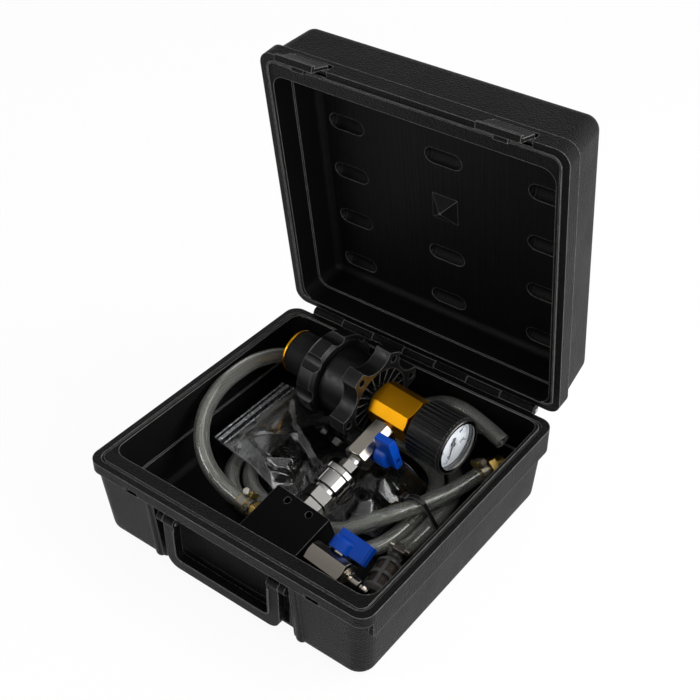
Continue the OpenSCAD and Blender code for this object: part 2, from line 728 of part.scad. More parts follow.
// The handle's outline under its pivot, grown by g
module handle_window(g) {
    w = handle_w - 2 * handle_leg + 2 * g;
    low = -handle_drop + handle_bar - g;
    r = 5 + g;
    translate([-w / 2, low + r]) square([w, handle_drop]);
    translate([-w / 2 + r, low]) square([w - 2 * r, handle_drop]);
    for (s = [-1, 1]) translate([s * (w / 2 - r), low + r]) circle(r);
}
module handle_outline() {
    translate([-handle_w / 2, -handle_drop + handle_r]) square([handle_w, handle_drop - handle_r]);
    translate([-handle_w / 2 + handle_r, -handle_drop]) square([handle_w - 2 * handle_r, handle_drop]);
    for (s = [-1, 1]) translate([s * (handle_w / 2 - handle_r), -handle_drop + handle_r]) circle(handle_r);
}
module carry_handle() {
    color(black_pe) translate([0, handle_y, handle_z]) difference() {
        union() {
            for (s = [-1, 1]) translate([s * (handle_w / 2 - handle_leg / 2), 0, 0]) rotate([0, 90, 0])
                cylinder(h = handle_leg, r = handle_eye_r, center = true);
            rotate([90, 0, 0]) translate([0, 0, -handle_t / 2]) linear_extrude(handle_t) difference() {
                handle_outline();
                handle_window(0);
            }
            rotate([90, 0, 0]) translate([0, 0, 0]) linear_extrude(handle_t / 2 + bead) intersection() {
                difference() {
                    handle_window(1.2);
                    handle_window(0);
                }
                translate([-handle_w / 2, -handle_drop]) square([handle_w, handle_drop - handle_eye_r - 2]);
            }
        }
        for (s = [-1, 1]) translate([s * (handle_w / 2 - handle_leg / 2), 0, 0])
            rotate([0, 90, 0]) cylinder(h = handle_leg + 2, d = handle_pin_d + 2 * pin_gap, center = true);
    }
}
module handle_pins() {
    color(steel) for (s = [-1, 1])
        translate([s * (handle_w / 2 - handle_leg / 2 + 2.5), handle_y, handle_z]) rotate([0, 90, 0])
            cylinder(h = handle_leg + 7, d = handle_pin_d, center = true);
}
// A latch: barrel on the pin, flap in front of the rim, hook and finger lip
module latch() {
    inner = -latch_inset - latch_gap;
    top = -1.2;
    neck = [latch_w, latch_t / 2 - inner - 0.5, 1.8];
    color(black_pe) difference() {
        union() {
            rotate([0, 90, 0]) cylinder(h = latch_w, r = latch_eye_r, center = true);
            translate([-latch_w / 2, inner - latch_t, -latch_len]) cube([latch_w, latch_t, latch_len + top]);
            translate([-latch_w / 2, inner - latch_t / 2, top - neck[2]]) cube(neck);
            translate([-hook_w / 2, inner - 1, hook_top - hook_h]) cube([hook_w, hook_in + 1, hook_h]);
            translate([-latch_w / 2, inner - latch_t - 2.5, -latch_len]) cube([latch_w, 3.5, 3]);
        }
        rotate([0, 90, 0]) cylinder(h = latch_w + 2, d = latch_pin_d + 2 * pin_gap, center = true);
    }
}
module latch_left() {
    on_latch(-1) latch();
}
module latch_right() {
    on_latch(1) latch();
}
module latch_pins() {
    color(steel) on_lid() for (s = [-1, 1]) translate([s * latch_x, latch_y, latch_z]) rotate([0, 90, 0])
        cylinder(h = latch_w + 9, d = latch_pin_d, center = true);
}

// Expander and gold body
module filler_body() {
    color(gold) in_tool() difference() {
        union() {
            cut_bar(body_len, body_af, body_corner, 3);
            rod(-body_x - 2, body_x + 3, neck_r);
        }
        rod(-body_x - 3, -body_x + 16, tube_od / 2 + fit_gap);
        rod(-body_x, body_x, tube_id / 2);
        rod(body_x - 8, body_x + 4, thread_d / 2 + fit_gap);
        rotate([0, 0, -90]) rod(0, body_af, tube_id / 2 - 1);
        rotate([0, 0, -90]) rod(body_af / 2 - thread_l, body_af, thread_d / 2 + fit_gap);
    }
}
module centre_tube() {
    color(steel) in_tool() collar_ring(tube_x0, -body_x + 15, tube_od / 2, tube_id / 2);
}
module end_washer() {
    color(gold) in_tool() difference() {
        turned([[sleeve_x0 - washer_t, 0], [sleeve_x0 - washer_t, sleeve_r - 1.2],
            [sleeve_x0 - washer_t + 1, sleeve_r + 0.4], [sleeve_x0 - seat_gap, sleeve_r + 0.4],
            [sleeve_x0 - seat_gap, 0]]);
        rod(tube_x0, sleeve_x0 + 1, tube_od / 2 + fit_gap);
    }
}
module rubber_sleeve() {
    mid = (sleeve_x0 + sleeve_x1) / 2;
    color(charcoal) in_tool() difference() {
        turned([[sleeve_x0, 0], [sleeve_x0, sleeve_r - 0.6], [sleeve_x0 + 1.5, sleeve_r],
            [mid, sleeve_r + 0.5], [sleeve_x1 - 1.5, sleeve_r], [sleeve_x1, sleeve_r - 0.6], [sleeve_x1, 0]]);
        rod(sleeve_x0 - 1, sleeve_x1 + 1, tube_od / 2 + 0.3);
    }
}
module fluted_collar() {
    x0 = collar_end;
    x1 = drum_end - seat_gap;
    color(black_pe) in_tool() difference() {
        union() {
            intersection() {
                translate([x0, 0, 0]) rotate([90, 0, 90]) linear_extrude(collar_len) difference() {
                    circle(collar_r);
                    for (i = [0 : collar_flutes - 1]) rotate(360 * (i + 0.5) / collar_flutes + 6.5)
                        translate([collar_r + 9 - flute_d, 0]) circle(9);
                }
                turned([[x0, 0], [x0, collar_r - 7], [x0 + 4, collar_r - 1.5], [x0 + 8, collar_r + 1],
                    [x1 - 3, collar_r + 1], [x1, collar_r - 3.5], [x1, 0]]);
            }
            rod(x0 - collar_nose, x0 + 1, sleeve_r);
        }
        rod(x0 - collar_nose - 1, x1 + 1, tube_od / 2 + fit_gap);
        translate([x1 - 3, 0, 0]) rod(0, 4, drum_r - 4);
    }
}
module star_handwheel() {
    pitch = 360 / star_lobes;
    tip = 8.7;
    px = star_r * cos(pitch / 2 - tip);
    py = star_r * sin(pitch / 2 - tip);
    // Scallop: a circle through the two lobe tips and the waist
    scallop_c = (px * px + py * py - star_waist * star_waist) / (2 * (px - star_waist));
    scallop_r = scallop_c - star_waist;
    color(black_pe) in_tool() difference() {
        union() {
            translate([star_back, 0, 0]) rotate([90, 0, 90]) linear_extrude(star_t) difference() {
                circle(star_r);
                for (i = [0 : star_lobes - 1]) rotate(star_turned + pitch * (i + 0.5))
                    translate([scallop_c, 0]) circle(scallop_r);
            }
            turned([[drum_end, 0], [drum_end, drum_r - 1.5], [drum_end + 1.5, drum_r],
                [star_back + 1, drum_r], [star_back + 1, 0]]);
        }
        collar_ring(star_face - star_recess_d, star_face + 1, star_recess_r, tube_od / 2 + 4);
        rod(drum_end - 1, star_face + 1, tube_od / 2 + fit_gap);
        for (i = [0 : star_lobes - 1]) rotate([star_turned + pitch * i, 0, 0]) translate([0, star_hole_r, 0])
            rod(star_face - 10, star_face + 1, star_hole_d / 2);
    }
    color(black_pe) in_tool() for (i = [0 : star_fins - 1]) rotate([360 * (i + 0.5) / star_fins, 0, 0])
        translate([star_face - star_recess_d - 1, tube_od / 2 + 3.5, -0.5])
            cube([star_recess_d - 1, star_recess_r + 0.5 - tube_od / 2 - 3.5, 1]);
}

// Gauge
module gauge_stem() {
    color(brass) in_tool() difference() {
        union() {
            rod(body_x - 7, boot_x0 + 3, thread_d / 2);
            hex_rod(body_x + 3.2, gauge_x0, 17);
        }
        rod(body_x - 8, boot_x0 + 1, 2.5);
    }
}
module gauge_case() {
    color(charcoal) in_tool() difference() {
        rod(gauge_x0, gauge_x1, gauge_r);
        rod(gauge_x0 + 2, gauge_x1 + 1, gauge_r - 1.2);
        rod(gauge_x0 - 1, gauge_x0 + 3, thread_d / 2 + fit_gap);
    }
}
module gauge_movement() {
    tube_r = 14;
    color(brass) in_tool() {
        difference() {
            union() {
                rod(gauge_x0 + 2, dial_x - 1, 5);
                translate([gauge_x0 + 12, 0, 0]) rotate([0, 90, 0]) rotate([0, 0, 40])
                    rotate_extrude(angle = 270) translate([tube_r, 0]) square([2, 5], center = true);
                rotate([50, 0, 0]) translate([gauge_x0 + 9.5, 3, -1.5]) cube([5, tube_r - 3.4, 3]);
            }
            rod(dial_x - 6, dial_x, 1 + fit_gap);
        }
    }
}
module gauge_dial() {
    color([0.86, 0.91, 0.96]) in_tool() collar_ring(dial_x - 0.8, dial_x, dial_r, 1.6);
}
module gauge_needle() {
    color([0.03, 0.03, 0.03]) in_tool() {
        rod(dial_x - 5, dial_x + 2.2, 1);
        rod(dial_x + 0.6, dial_x + 2, 2.2);
        rotate([270 - needle_angle, 0, 0]) translate([dial_x + 0.9, 0, 0]) rotate([90, 0, 90])
            linear_extrude(0.6)
                polygon([[-6, -1.4], [-6, 1.4], [0, 0.9], [needle_len, 0.25], [needle_len, -0.25],
                    [0, -0.9]]);
    }
}
module gauge_lens() {
    color([0.9, 0.95, 1, 0.25]) in_tool() rod(gauge_x1 + seat_gap, gauge_x1 + seat_gap + 1.2, dial_r);
}
module gauge_bezel() {
    color(charcoal) in_tool() difference() {
        turned([[gauge_x1 - 2, gauge_r + 0.05], [gauge_x1 - 2, gauge_r + 0.9], [boot_x1 - 0.6, gauge_r + 0.9],
            [boot_x1, gauge_r + 0.3], [boot_x1, dial_r - 0.5], [boot_x1 - 0.4, dial_r - 0.5],
            [gauge_x1 + seat_gap + 1.3, dial_r - 0.3], [gauge_x1 + seat_gap + 1.3, dial_r + 0.1],
            [gauge_x1 + 0.05, dial_r + 0.1], [gauge_x1 + 0.05, gauge_r + 0.05]]);
        rod(boot_x1 + 1, boot_x1 + 2, 1);
    }
}
module gauge_boot() {
    groove = 1.6;
    color(black_pe) in_tool() difference() {
        union() {
            intersection() {
                translate([boot_x0, 0, 0]) rotate([90, 0, 90]) linear_extrude(boot_len - 2)
                    polygon([for (i = [0 : boot_ribs - 1]) for (k = [[0, 0], [0.12, 1], [0.62, 1], [0.74, 0]])
                        let (a = 360 * (i + k[0]) / boot_ribs, r = boot_r - groove * (1 - k[1]))
                            [r * cos(a), r * sin(a)]]);
                turned([[boot_x0, 0], [boot_x0, boot_r - 3], [boot_x0 + 1.5, boot_r - 0.9],
                    [boot_x1 - 2, boot_r + 0.1], [boot_x1 - 2, 0]]);
            }
            turned([[boot_x1 - 3, 0], [boot_x1 - 3, boot_r - 0.9], [boot_x1 - 0.6, boot_r - 0.9],
                [boot_x1, boot_r - 1.5], [boot_x1, 0]]);
        }
        rod(gauge_x0 - 0.1, boot_x1 + 1, gauge_r + 1);
        rod(boot_x0 - 1, boot_x1, 11);
    }
}

// Ball valves: drawn along X with the stem along +Y
module valve_body() {
    color(nickel) difference() {
        cut_bar(valve_len, valve_af, valve_corner, 2);
        rod(-valve_len, valve_len, ball_bore / 2 + 0.5);
        for (s = [-1, 1]) rod(s > 0 ? valve_len / 2 - thread_l - 0.5 : -valve_len / 2 - 1,
            s > 0 ? valve_len / 2 + 1 : -valve_len / 2 + thread_l + 0.5, thread_d / 2 + fit_gap);
        rotate([0, 90, 0]) sphere(ball_r + 0.3);
        rotate([0, 0, 90]) rod(0, valve_af, stem_d / 2 + fit_gap);
    }
}
module valve_ball() {
    color(chrome) difference() {
        rotate([0, 90, 0]) sphere(ball_r);
        rod(-ball_r - 1, ball_r + 1, ball_bore / 2);
        translate([-ball_r, ball_r - slot_d, -slot_w / 2]) cube([2 * ball_r, 2 * slot_d, slot_w]);
    }
}
module valve_stem() {
    tang = slot_w - 0.1;
    color(brass) {
        rotate([0, 0, 90]) rod(ball_r + 0.1, stem_top, stem_d / 2);
        translate([-stem_d / 2 + 0.5, ball_r - slot_d + 0.1, -tang / 2])
            cube([stem_d - 1, slot_d + 0.5, tang]);
    }
}
module valve_gland() {
    color(nickel) rotate([0, 0, 90]) difference() {
        hex_rod(valve_af / 2, valve_af / 2 + 3, 11.5);
        rod(valve_af / 2 - 1, valve_af / 2 + 4, stem_d / 2 + fit_gap);
    }
}
module valve_lever() {
    s0 = valve_af / 2 + 1.5;
    s1 = s0 + lever_h;
    cap = s0 + 11;
    color(blue) difference() {
        union() {
            rotate([0, 0, 90]) turned([[s0, 0], [s0, lever_hub_r], [cap - 1.5, lever_hub_r],
                [cap, lever_hub_r - 1.5], [cap, 0]]);
            rotate([-90, 0, 0]) translate([0, 0, s0 + 1.5]) linear_extrude(s1 - s0 - 1.5) {
                translate([(lever_len - 8) / 2, 0]) square([lever_len + 8 - 3, lever_t], center = true);
                translate([-6.5, 0]) square([4, lever_t - 2], center = true);
                translate([lever_len - 2.5, 0]) square([5, lever_t - 1.6], center = true);
            }
        }
        rotate([0, 0, 90]) rod(s0 - 1, s0 + 4, lever_hub_r - 2);
        rotate([0, 0, 90]) rod(s0, stem_top, stem_d / 2 + fit_gap);
        rotate([0, 0, 90]) rod(s1 - 3, s1 + 1, 2.6);
    }
}
module at_valve_a() {
    on_branch() translate([valve_a_mid, 0, 0]) rotate([valve_a_twist, 0, 0]) children();
}
module at_valve_b() {
    on_venturi() translate([valve_b_mid, 0, 0]) rotate([valve_b_twist, 0, 0]) children();
}
module valve_a_nipple() {
    color(brass) on_branch() collar_ring(body_af / 2 - thread_l + 0.5, valve_a0 + thread_l, thread_d / 2, 4);
}
module valve_a_body() {
    at_valve_a() valve_body();
}
module valve_a_ball() {
    at_valve_a() rotate([0, 90, 0]) valve_ball();
}
module valve_a_stem() {
    at_valve_a() rotate([0, 90, 0]) valve_stem();
}
module valve_a_gland() {
    at_valve_a() valve_gland();
}
// The first lever stands across the flow and points up
module valve_a_lever() {
    at_valve_a() rotate([0, -90, 0]) valve_lever();
}
module valve_b_nipple() {
    color(brass) on_venturi() collar_ring(block_w / 2 - thread_l, valve_b0 + thread_l, thread_d / 2, 4);
}
module valve_b_body() {
    at_valve_b() valve_body();
}
module valve_b_ball() {
    at_valve_b() valve_ball();
}
module valve_b_stem() {
    at_valve_b() valve_stem();
}
module valve_b_gland() {
    at_valve_b() valve_gland();
}
// The second lever lies along the flow
module valve_b_lever() {
    at_valve_b() valve_lever();
}

// Quick coupler
module quick_plug() {
    color(chrome) on_branch() difference() {
        union() {
            rod(valve_a1 - thread_l, plug_hex0 + 1, thread_d / 2);
            hex_rod(plug_hex0, plug_hex1, 15.5);
            turned([[plug_hex1 - 1, 0], [plug_hex1 - 1, 5], [coupler_0 + 2, 5], [coupler_0 + 3, 4.2],
                [coupler_0 + 5, 4.2], [coupler_0 + 6, 5], [coupler_0 + 14, 5], [coupler_0 + 16, 3.6],
                [coupler_0 + 18, 3.6], [coupler_0 + 18, 0]]);
        }
        rod(valve_a1 - thread_l - 1, coupler_0 + 19, 2.6);
    }
}
module coupler_body() {
    color(chrome) on_branch() difference() {
        union() {
            rod(coupler_0, coupler_hex0 + 1, coupler_r);
            rod(spring_0 + 8.5, coupler_hex0 + 1, coupler_r + 1.4);
            hex_rod(coupler_hex0, coupler_hex1, coupler_af);
        }
        rod(coupler_0 - 1, coupler_0 + 19, 5.1);
        rod(coupler_0, coupler_hex1 + 1, 3);
        rod(coupler_hex1 - thread_l + 1, coupler_hex1 + 1, thread_d / 2 + fit_gap);
    }
}
module coupler_sleeve() {
    color(chrome) on_branch() difference() {
        union() {
            turned([[slide_0, 0], [slide_0, slide_ring_r - 1], [slide_0 + 1, slide_ring_r],
                [slide_0 + 5.5, slide_ring_r], [slide_0 + 6.3, slide_r], [slide_1 - 0.8, slide_r],
                [slide_1, slide_r - 0.8], [slide_1, 0]]);
        }
        rod(slide_0 - 1, slide_1 + 1, coupler_r + 0.06);
        rod(spring_0, slide_1 + 1, slide_r - 1.1);
        rod(slide_0 - 1, slide_0 + 3, slide_ring_r - 3);
    }
}
module coupler_spring() {
    turns = 4;
    wire_r = 0.5;
    at_r = (coupler_r + slide_r - 1.1) / 2;
    len = 7.4;
    steps = 12 * turns;
    coil = [for (i = [0 : steps])
        [at_r * cos(30 * i), at_r * sin(30 * i), spring_0 + 0.7 + (len - 1.4) * i / steps]];
    color(steel) on_branch() rotate([0, 90, 0]) wire(coil, wire_r, 6);
}
module coupler_nipple() {
    color(nickel) on_branch() difference() {
        union() {
            rod(coupler_hex1 - thread_l + 2, block_0 + thread_l, thread_d / 2);
            hex_rod(nipple_hex0, nipple_hex1, 22);
        }
        rod(coupler_hex1 - thread_l, block_0 + thread_l + 1, 3);
    }
}

// Venturi block
module venturi_block() {
    color(black_pe) difference() {
        in_tool() translate([-block_w / 2, -block_1, -block_t / 2]) cube([block_w, block_l, block_t]);
        on_branch() rod(block_0 - 1, block_0 + thread_l + 0.5, thread_d / 2 + fit_gap);
        on_branch() rod(block_0, venturi_t, 3);
        on_venturi() rod(-block_w, block_w, 4);
        on_venturi() for (s = [-1, 1]) rod(s > 0 ? block_w / 2 - thread_l - 0.5 : -block_w / 2 - 1,
            s > 0 ? block_w / 2 + 1 : -block_w / 2 + thread_l + 0.5, thread_d / 2 + fit_gap);
        for (s = [-1, 1]) in_tool() translate([s * fix_dx / 2, -fix_t, 0])
            cylinder(h = 2 * block_t, d = fix_d, center = true);
    }
}
module venturi_nozzle() {
    x1 = block_w / 2 - thread_l - 0.5;
    color(brass) on_venturi() difference() {
        turned([[5, 0], [5, 1.8], [x1 - 6, 4 - fit_gap], [x1, 4 - fit_gap], [x1, 0]]);
        turned([[4, 0], [4, 0.8], [5, 0.8], [x1 + 1, 3], [x1 + 1, 0]]);
    }
}
module hose_barb() {
    bore_r = barb_r;
    color(brass) on_venturi() difference() {
        union() {
            rod(barb_0, -block_w / 2 + thread_l, thread_d / 2);
            rotate([0, 180, 0]) hex_rod(block_w / 2, -barb_0, 15);
            turned([[barb_end, 0], [barb_end, bore_r - 0.9], [barb_end + 4, bore_r],
                [barb_end + 4, bore_r - 0.9], [barb_end + 8, bore_r], [barb_end + 8, bore_r - 0.9],
                [barb_end + 12, bore_r], [barb_end + 12, bore_r - 0.9], [barb_0 + 1, bore_r - 0.9],
                [barb_0 + 1, 0]]);
        }
        rod(barb_end - 1, -block_w / 2 + thread_l + 1, 2.8);
    }
}
// Worm clamp about X: band, screw housing and screw
module worm_clamp(x0, w) {
    r = hose_od / 2 + seat_gap;
    collar_ring(x0, x0 + w, r + 0.8, r);
    translate([x0 - 0.5, -5, r + 0.7]) cube([w + 1, 10, 4.4]);
    translate([x0 + w / 2, 0, r + 3]) rotate([90, 0, 0]) cylinder(h = 17, d = 4, center = true);
    translate([x0 + w / 2, -7, r + 3]) rotate([90, 0, 0]) cylinder(h = 3.5, d = 6.5, $fn = 6, center = true);
}
module exhaust_clamp() {
    color(brass) on_venturi() rotate([-67, 0, 0]) worm_clamp(hose_start - 12, 8);
}
module air_plug() {
    x0 = valve_b1;
    color(nickel) on_venturi() difference() {
        union() {
            rod(x0 - thread_l, x0 + 1, thread_d / 2);
            hex_rod(x0 + 0.3, x0 + 3.6, 13);
            turned([[x0 + 3, 0], [x0 + 3, 4], [x0 + 5, 4], [x0 + 6, 5.3], [x0 + 13, 5.3], [x0 + 14.5, 3.3],
                [x0 + 16, 3.3], [x0 + 17, 4.2], [x0 + 20, 3], [x0 + 21.5, 3], [x0 + 21.5, 0]]);
        }
        rod(x0 - thread_l - 1, x0 + 29, 2.2);
    }
}

// Hoses and what is on them
module exhaust_hose() {
    color(clear_pvc) tube(exhaust_path, hose_od / 2, hose_id / 2, hose_sides);
}
module feed_hose() {
    color(clear_pvc) tube(feed_path, hose_od / 2, hose_id / 2, hose_sides);
}
// Cable tie: a strap round the three strands of the coil on its right side
tie_set = [coil_pt(tie_at), coil_pt(tie_at + 1), tie_top];
tie_w = 4.6;
// The top strand crosses the tie at a slant, so the strap stands off it
tie_slack = [tie_ease, tie_ease, 2.2];
module strand_hull(extra) {
    hull() for (i = [0 : 2]) translate([tie_set[i][0], tie_set[i][2]])
        circle(hose_od / 2 + extra + tie_slack[i], $fn = 24);
}
module cable_tie() {
    color(black_pe) translate([0, tie_top[1] + tie_w / 2, 0]) rotate([90, 0, 0]) {
        linear_extrude(tie_w) difference() {
            strand_hull(tie_gap + tie_t);
            strand_hull(tie_gap);
        }
        translate([tie_top[0] - hose_od / 2 - tie_gap - tie_slack[2] - 4, top_z - 1, -0.9])
            cube([4, 7, tie_w + 1.8]);
    }
}
module strainer_cage() {
    r = strainer_r;
    color([0.5, 0.5, 0.5]) on_strainer() difference() {
        union() {
            turned([[0, 0], [0, r - 3], [3, r], [strainer_len - 5, r], [strainer_len - 1, r - 3],
                [strainer_len, r - 4.5], [strainer_len, 0]]);
            rod(strainer_len - 1, strainer_len + hose_od, barb_r);
        }
        rod(3, strainer_len - 6, r - 1.5);
        rod(3, strainer_len + hose_od + 1, 3.2);
        for (k = [0 : 1]) for (a = [0 : 3]) rotate([90 * a + 45, 0, 0])
            translate([5 + k * (strainer_len - 9) / 2, -(r - 4.5), 0])
                cube([(strainer_len - 9) / 2 - 3.5, 2 * (r - 4.5), 2 * r]);
    }
}
module strainer_mesh() {
    color([0.25, 0.24, 0.22]) on_strainer()
        collar_ring(3.2, strainer_len - 6.2, strainer_r - 1.8, strainer_r - 2.4);
}
module strainer_clamp() {
    color(nickel) on_strainer() rotate([15, 0, 0]) worm_clamp(strainer_len + 4.5, 7);
}
module feed_fitting() {
    color(brass) on_feed_end() difference() {
        union() {
            rod(-hose_od + 1, 1, barb_r);
            hex_rod(seat_gap, 7, 17);
            rod(6.5, 16, 7.5);
        }
        rod(-hose_od, 17, 2.8);
    }
}
module feed_clamp() {
    color(nickel) on_feed_end() rotate([-35, 0, 0]) worm_clamp(-10, 7);
}

// Zip bag: a thin film round the adapters, flat at its zip and full over the cones
bag_x0 = -113;
bag_x1 = bag_x0 + bag_l;
bag_n = 20;
// Station along the bag from 0 at the zip to 1: half width, half thickness and height of its middle
function bag_half_w(s) = bag_w / 2 * (1 - 0.9 * max(0, s - 0.78)) * (0.94 + 0.06 * sin(180 * s));
function bag_half_t(s) = s < 0.28 ? 1.6 + 4 * s
    : 2.72 + 7.6 * sin(90 * min(1, (s - 0.28) / 0.25)) - (s > 0.86 ? 46 * (s - 0.86) : 0);
function bag_mid_z(s) = s < 0.28 ? 32 - 40 * s * s
    : max(floor_t + floor_gap + bag_half_t(s), 28.9 - 90 * (s - 0.28));
function bag_mid_y(s) = 31 - s;
function bag_ring(s, inset) = let (x = bag_x0 + inset + (bag_l - 2 * inset) * s)
    [for (j = [0 : bag_n - 1]) let (a = 360 * j / bag_n, c = cos(a), v = sin(a))
        [x, bag_mid_y(s) - (bag_half_w(s) - inset) * sign(c) * pow(abs(c), 0.6),
            bag_mid_z(s) + (bag_half_t(s) - inset) * sign(v) * pow(abs(v), 0.35)]];
bag_stations = [0, 0.06, 0.14, 0.22, 0.3, 0.38, 0.46, 0.56, 0.68, 0.8, 0.9, 0.96, 1];
module zip_bag() {
    color([0.85, 0.87, 0.9, 0.4]) difference() {
        skin([for (s = bag_stations) bag_ring(s, 0)]);
        skin([for (s = bag_stations) bag_ring(s, film_t)]);
    }
}
// Rubber adapter: a stepped cone standing on its wide end
module adapter(at, r, h) {
    color(charcoal) translate([at[0], at[1], floor_t + floor_gap + film_t + 0.8]) difference() {
        rotate_extrude() polygon([[0, 0], [r, 0], [r, 4], [r * 0.82, 5], [r * 0.72, h * 0.55],
            [r * 0.64, h * 0.6], [r * 0.56, h], [0, h]]);
        translate([0, 0, -1]) cylinder(h = h + 2, r = r * 0.32);
    }
}
module adapter_large() {
    adapter([bag_x1 - 72, 31], 21, 16.5);
}
module adapter_medium() {
    adapter([bag_x1 - 33, 44.2], 14.6, 15.5);
}
module adapter_small() {
    adapter([bag_x1 - 29, 12.7], 12.5, 15);
}

case_base();
case_lid();
hinge_pin();
carry_handle();
handle_pins();
latch_left();
latch_right();
latch_pins();
filler_body();
centre_tube();
end_washer();
rubber_sleeve();
fluted_collar();
star_handwheel();
gauge_stem();
gauge_case();
gauge_movement();
gauge_dial();
gauge_needle();
gauge_lens();
gauge_bezel();
gauge_boot();
valve_a_nipple();
valve_a_body();
valve_a_ball();
valve_a_stem();
valve_a_gland();
valve_a_lever();
quick_plug();
coupler_body();
coupler_sleeve();
coupler_spring();
coupler_nipple();
venturi_block();
venturi_nozzle();
hose_barb();
exhaust_clamp();
valve_b_nipple();
valve_b_body();
valve_b_ball();
valve_b_stem();
valve_b_gland();
valve_b_lever();
air_plug();
exhaust_hose();
feed_hose();
cable_tie();
strainer_cage();
strainer_mesh();
strainer_clamp();
feed_fitting();
feed_clamp();
zip_bag();
adapter_large();
adapter_medium();
adapter_small();
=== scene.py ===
"""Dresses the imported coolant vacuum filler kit: hoses, bag film, gauge face, finishes and stage."""

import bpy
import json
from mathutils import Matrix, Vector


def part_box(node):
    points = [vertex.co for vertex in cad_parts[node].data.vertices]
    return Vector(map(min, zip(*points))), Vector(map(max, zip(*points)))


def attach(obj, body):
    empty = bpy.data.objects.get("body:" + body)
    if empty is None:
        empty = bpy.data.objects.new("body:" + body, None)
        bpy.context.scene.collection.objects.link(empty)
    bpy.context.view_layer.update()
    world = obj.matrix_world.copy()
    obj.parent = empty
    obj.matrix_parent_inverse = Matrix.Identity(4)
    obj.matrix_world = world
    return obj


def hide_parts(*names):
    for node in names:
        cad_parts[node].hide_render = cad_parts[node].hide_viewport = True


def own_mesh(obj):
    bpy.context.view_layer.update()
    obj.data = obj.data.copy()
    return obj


bl_info = {
    "name": "Vacuum filler kit dressing",
    "version": (1, 0, 0),
    "blender": (4, 5, 0),
    "location": "View3D > Sidebar > Filler kit",
    "description": "Models the hoses, bag and gauge face of the kit, and gives every piece its finish",
    "category": "Object",
}

import json
import math

import bpy
from bpy.props import FloatProperty, FloatVectorProperty, IntProperty, PointerProperty
from mathutils import Matrix, Vector, noise

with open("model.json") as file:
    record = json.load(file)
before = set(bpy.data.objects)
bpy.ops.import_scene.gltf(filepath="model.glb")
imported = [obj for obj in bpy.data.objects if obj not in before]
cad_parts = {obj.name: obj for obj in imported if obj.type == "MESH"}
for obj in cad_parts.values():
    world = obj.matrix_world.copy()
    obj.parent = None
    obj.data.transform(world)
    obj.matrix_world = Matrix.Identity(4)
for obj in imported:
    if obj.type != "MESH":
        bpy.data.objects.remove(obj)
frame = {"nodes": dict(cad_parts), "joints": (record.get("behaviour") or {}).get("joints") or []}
NODES = frame["nodes"]
JOINTS = {joint["name"]: joint for joint in frame["joints"]}
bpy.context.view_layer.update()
MM = 0.001

# The tool's own axes: X along the expander towards the gauge, Y towards the hinge, Z out of its top
TOOL_X = -Vector(JOINTS["needle_turn"]["axis"])
TOOL_Y = -Vector(JOINTS["sleeve_slide"]["axis"])
TOOL_Z = TOOL_X.cross(TOOL_Y)
DIAL_X = 56.1
TOOL_AT = Vector(JOINTS["needle_turn"]["pos_m"]) - TOOL_X * DIAL_X * MM
TOOL = Matrix.Translation(TOOL_AT) @ Matrix((TOOL_X, TOOL_Y, TOOL_Z)).transposed().to_4x4()
TOOL_TURN = TOOL.to_3x3().inverted().to_euler()

# The lid's hinge, and the turn that would shut the lid
HINGE = Vector(JOINTS["lid_hinge"]["pos_m"])
LID_SHUT = math.radians(JOINTS["lid_hinge"]["range_deg"][1])


class KitSizes(bpy.types.PropertyGroup):
    """Sizes that a user would change"""

    hose_od: FloatProperty(name="Hose diameter", description="Outside diameter of the clear hoses",
                           default=0.014, min=0.01, max=0.016, unit="LENGTH")
    hose_wall: FloatProperty(name="Hose wall", description="Thickness of the hose wall",
                             default=0.002, min=0.001, max=0.003, unit="LENGTH")
    film: FloatProperty(name="Bag film", description="Thickness of the zip bag's film",
                        default=0.0002, min=0.0001, max=0.0006, unit="LENGTH")
    crumple: FloatProperty(name="Bag creases", description="Height of the creases in the bag's film",
                           default=0.006, min=0.0, max=0.009, unit="LENGTH")
    dial_marks: IntProperty(name="Dial steps", description="Count of the numbered steps on the dial",
                            default=5, min=3, max=10)
    grain: FloatProperty(name="Case grain", description="Depth of the moulded grain on the case",
                         default=0.0006, min=0.0, max=0.001, unit="LENGTH")


class KitColours(bpy.types.PropertyGroup):
    """Colours that a user would change"""

    case: FloatVectorProperty(name="Case", description="Case plastic", subtype="COLOR",
                              default=(0.0032, 0.0032, 0.0034), min=0, max=1)
    gold: FloatVectorProperty(name="Gold", description="Gold anodised parts", subtype="COLOR",
                              default=(0.98, 0.44, 0.01), min=0, max=1)
    lever: FloatVectorProperty(name="Levers", description="Valve levers", subtype="COLOR",
                               default=(0.001, 0.05, 0.36), min=0, max=1)
    nickel: FloatVectorProperty(name="Nickel", description="Nickel plated valves", subtype="COLOR",
                                default=(0.46, 0.42, 0.365), min=0, max=1)
    hose: FloatVectorProperty(name="Hose", description="Clear hose", subtype="COLOR",
                              default=(0.95, 0.96, 0.905), min=0, max=1)


# Finishes

BEVEL_SAMPLES = 4
# Case plastic: leather cells outside, a fine grain all over, and long streaks inside
LEATHER_CELLS = 720.0
GRAIN_STRETCH = (1700.0, 420.0, 1700.0)
GRAIN_SHARE = 0.5
STREAK_STRETCH = (420.0, 9.0, 60.0)
# Painted highlight colour along the case's sharp edges
CASE_EDGE_HIGHLIGHT = (0.34, 0.335, 0.325)
BASE_INNER = ((-0.1305, -0.1135, 0.003), (0.1305, 0.1265, 0.09))
LID_INNER = ((-0.1305, -0.1135, 0.07), (0.1305, 0.1265, 0.131))
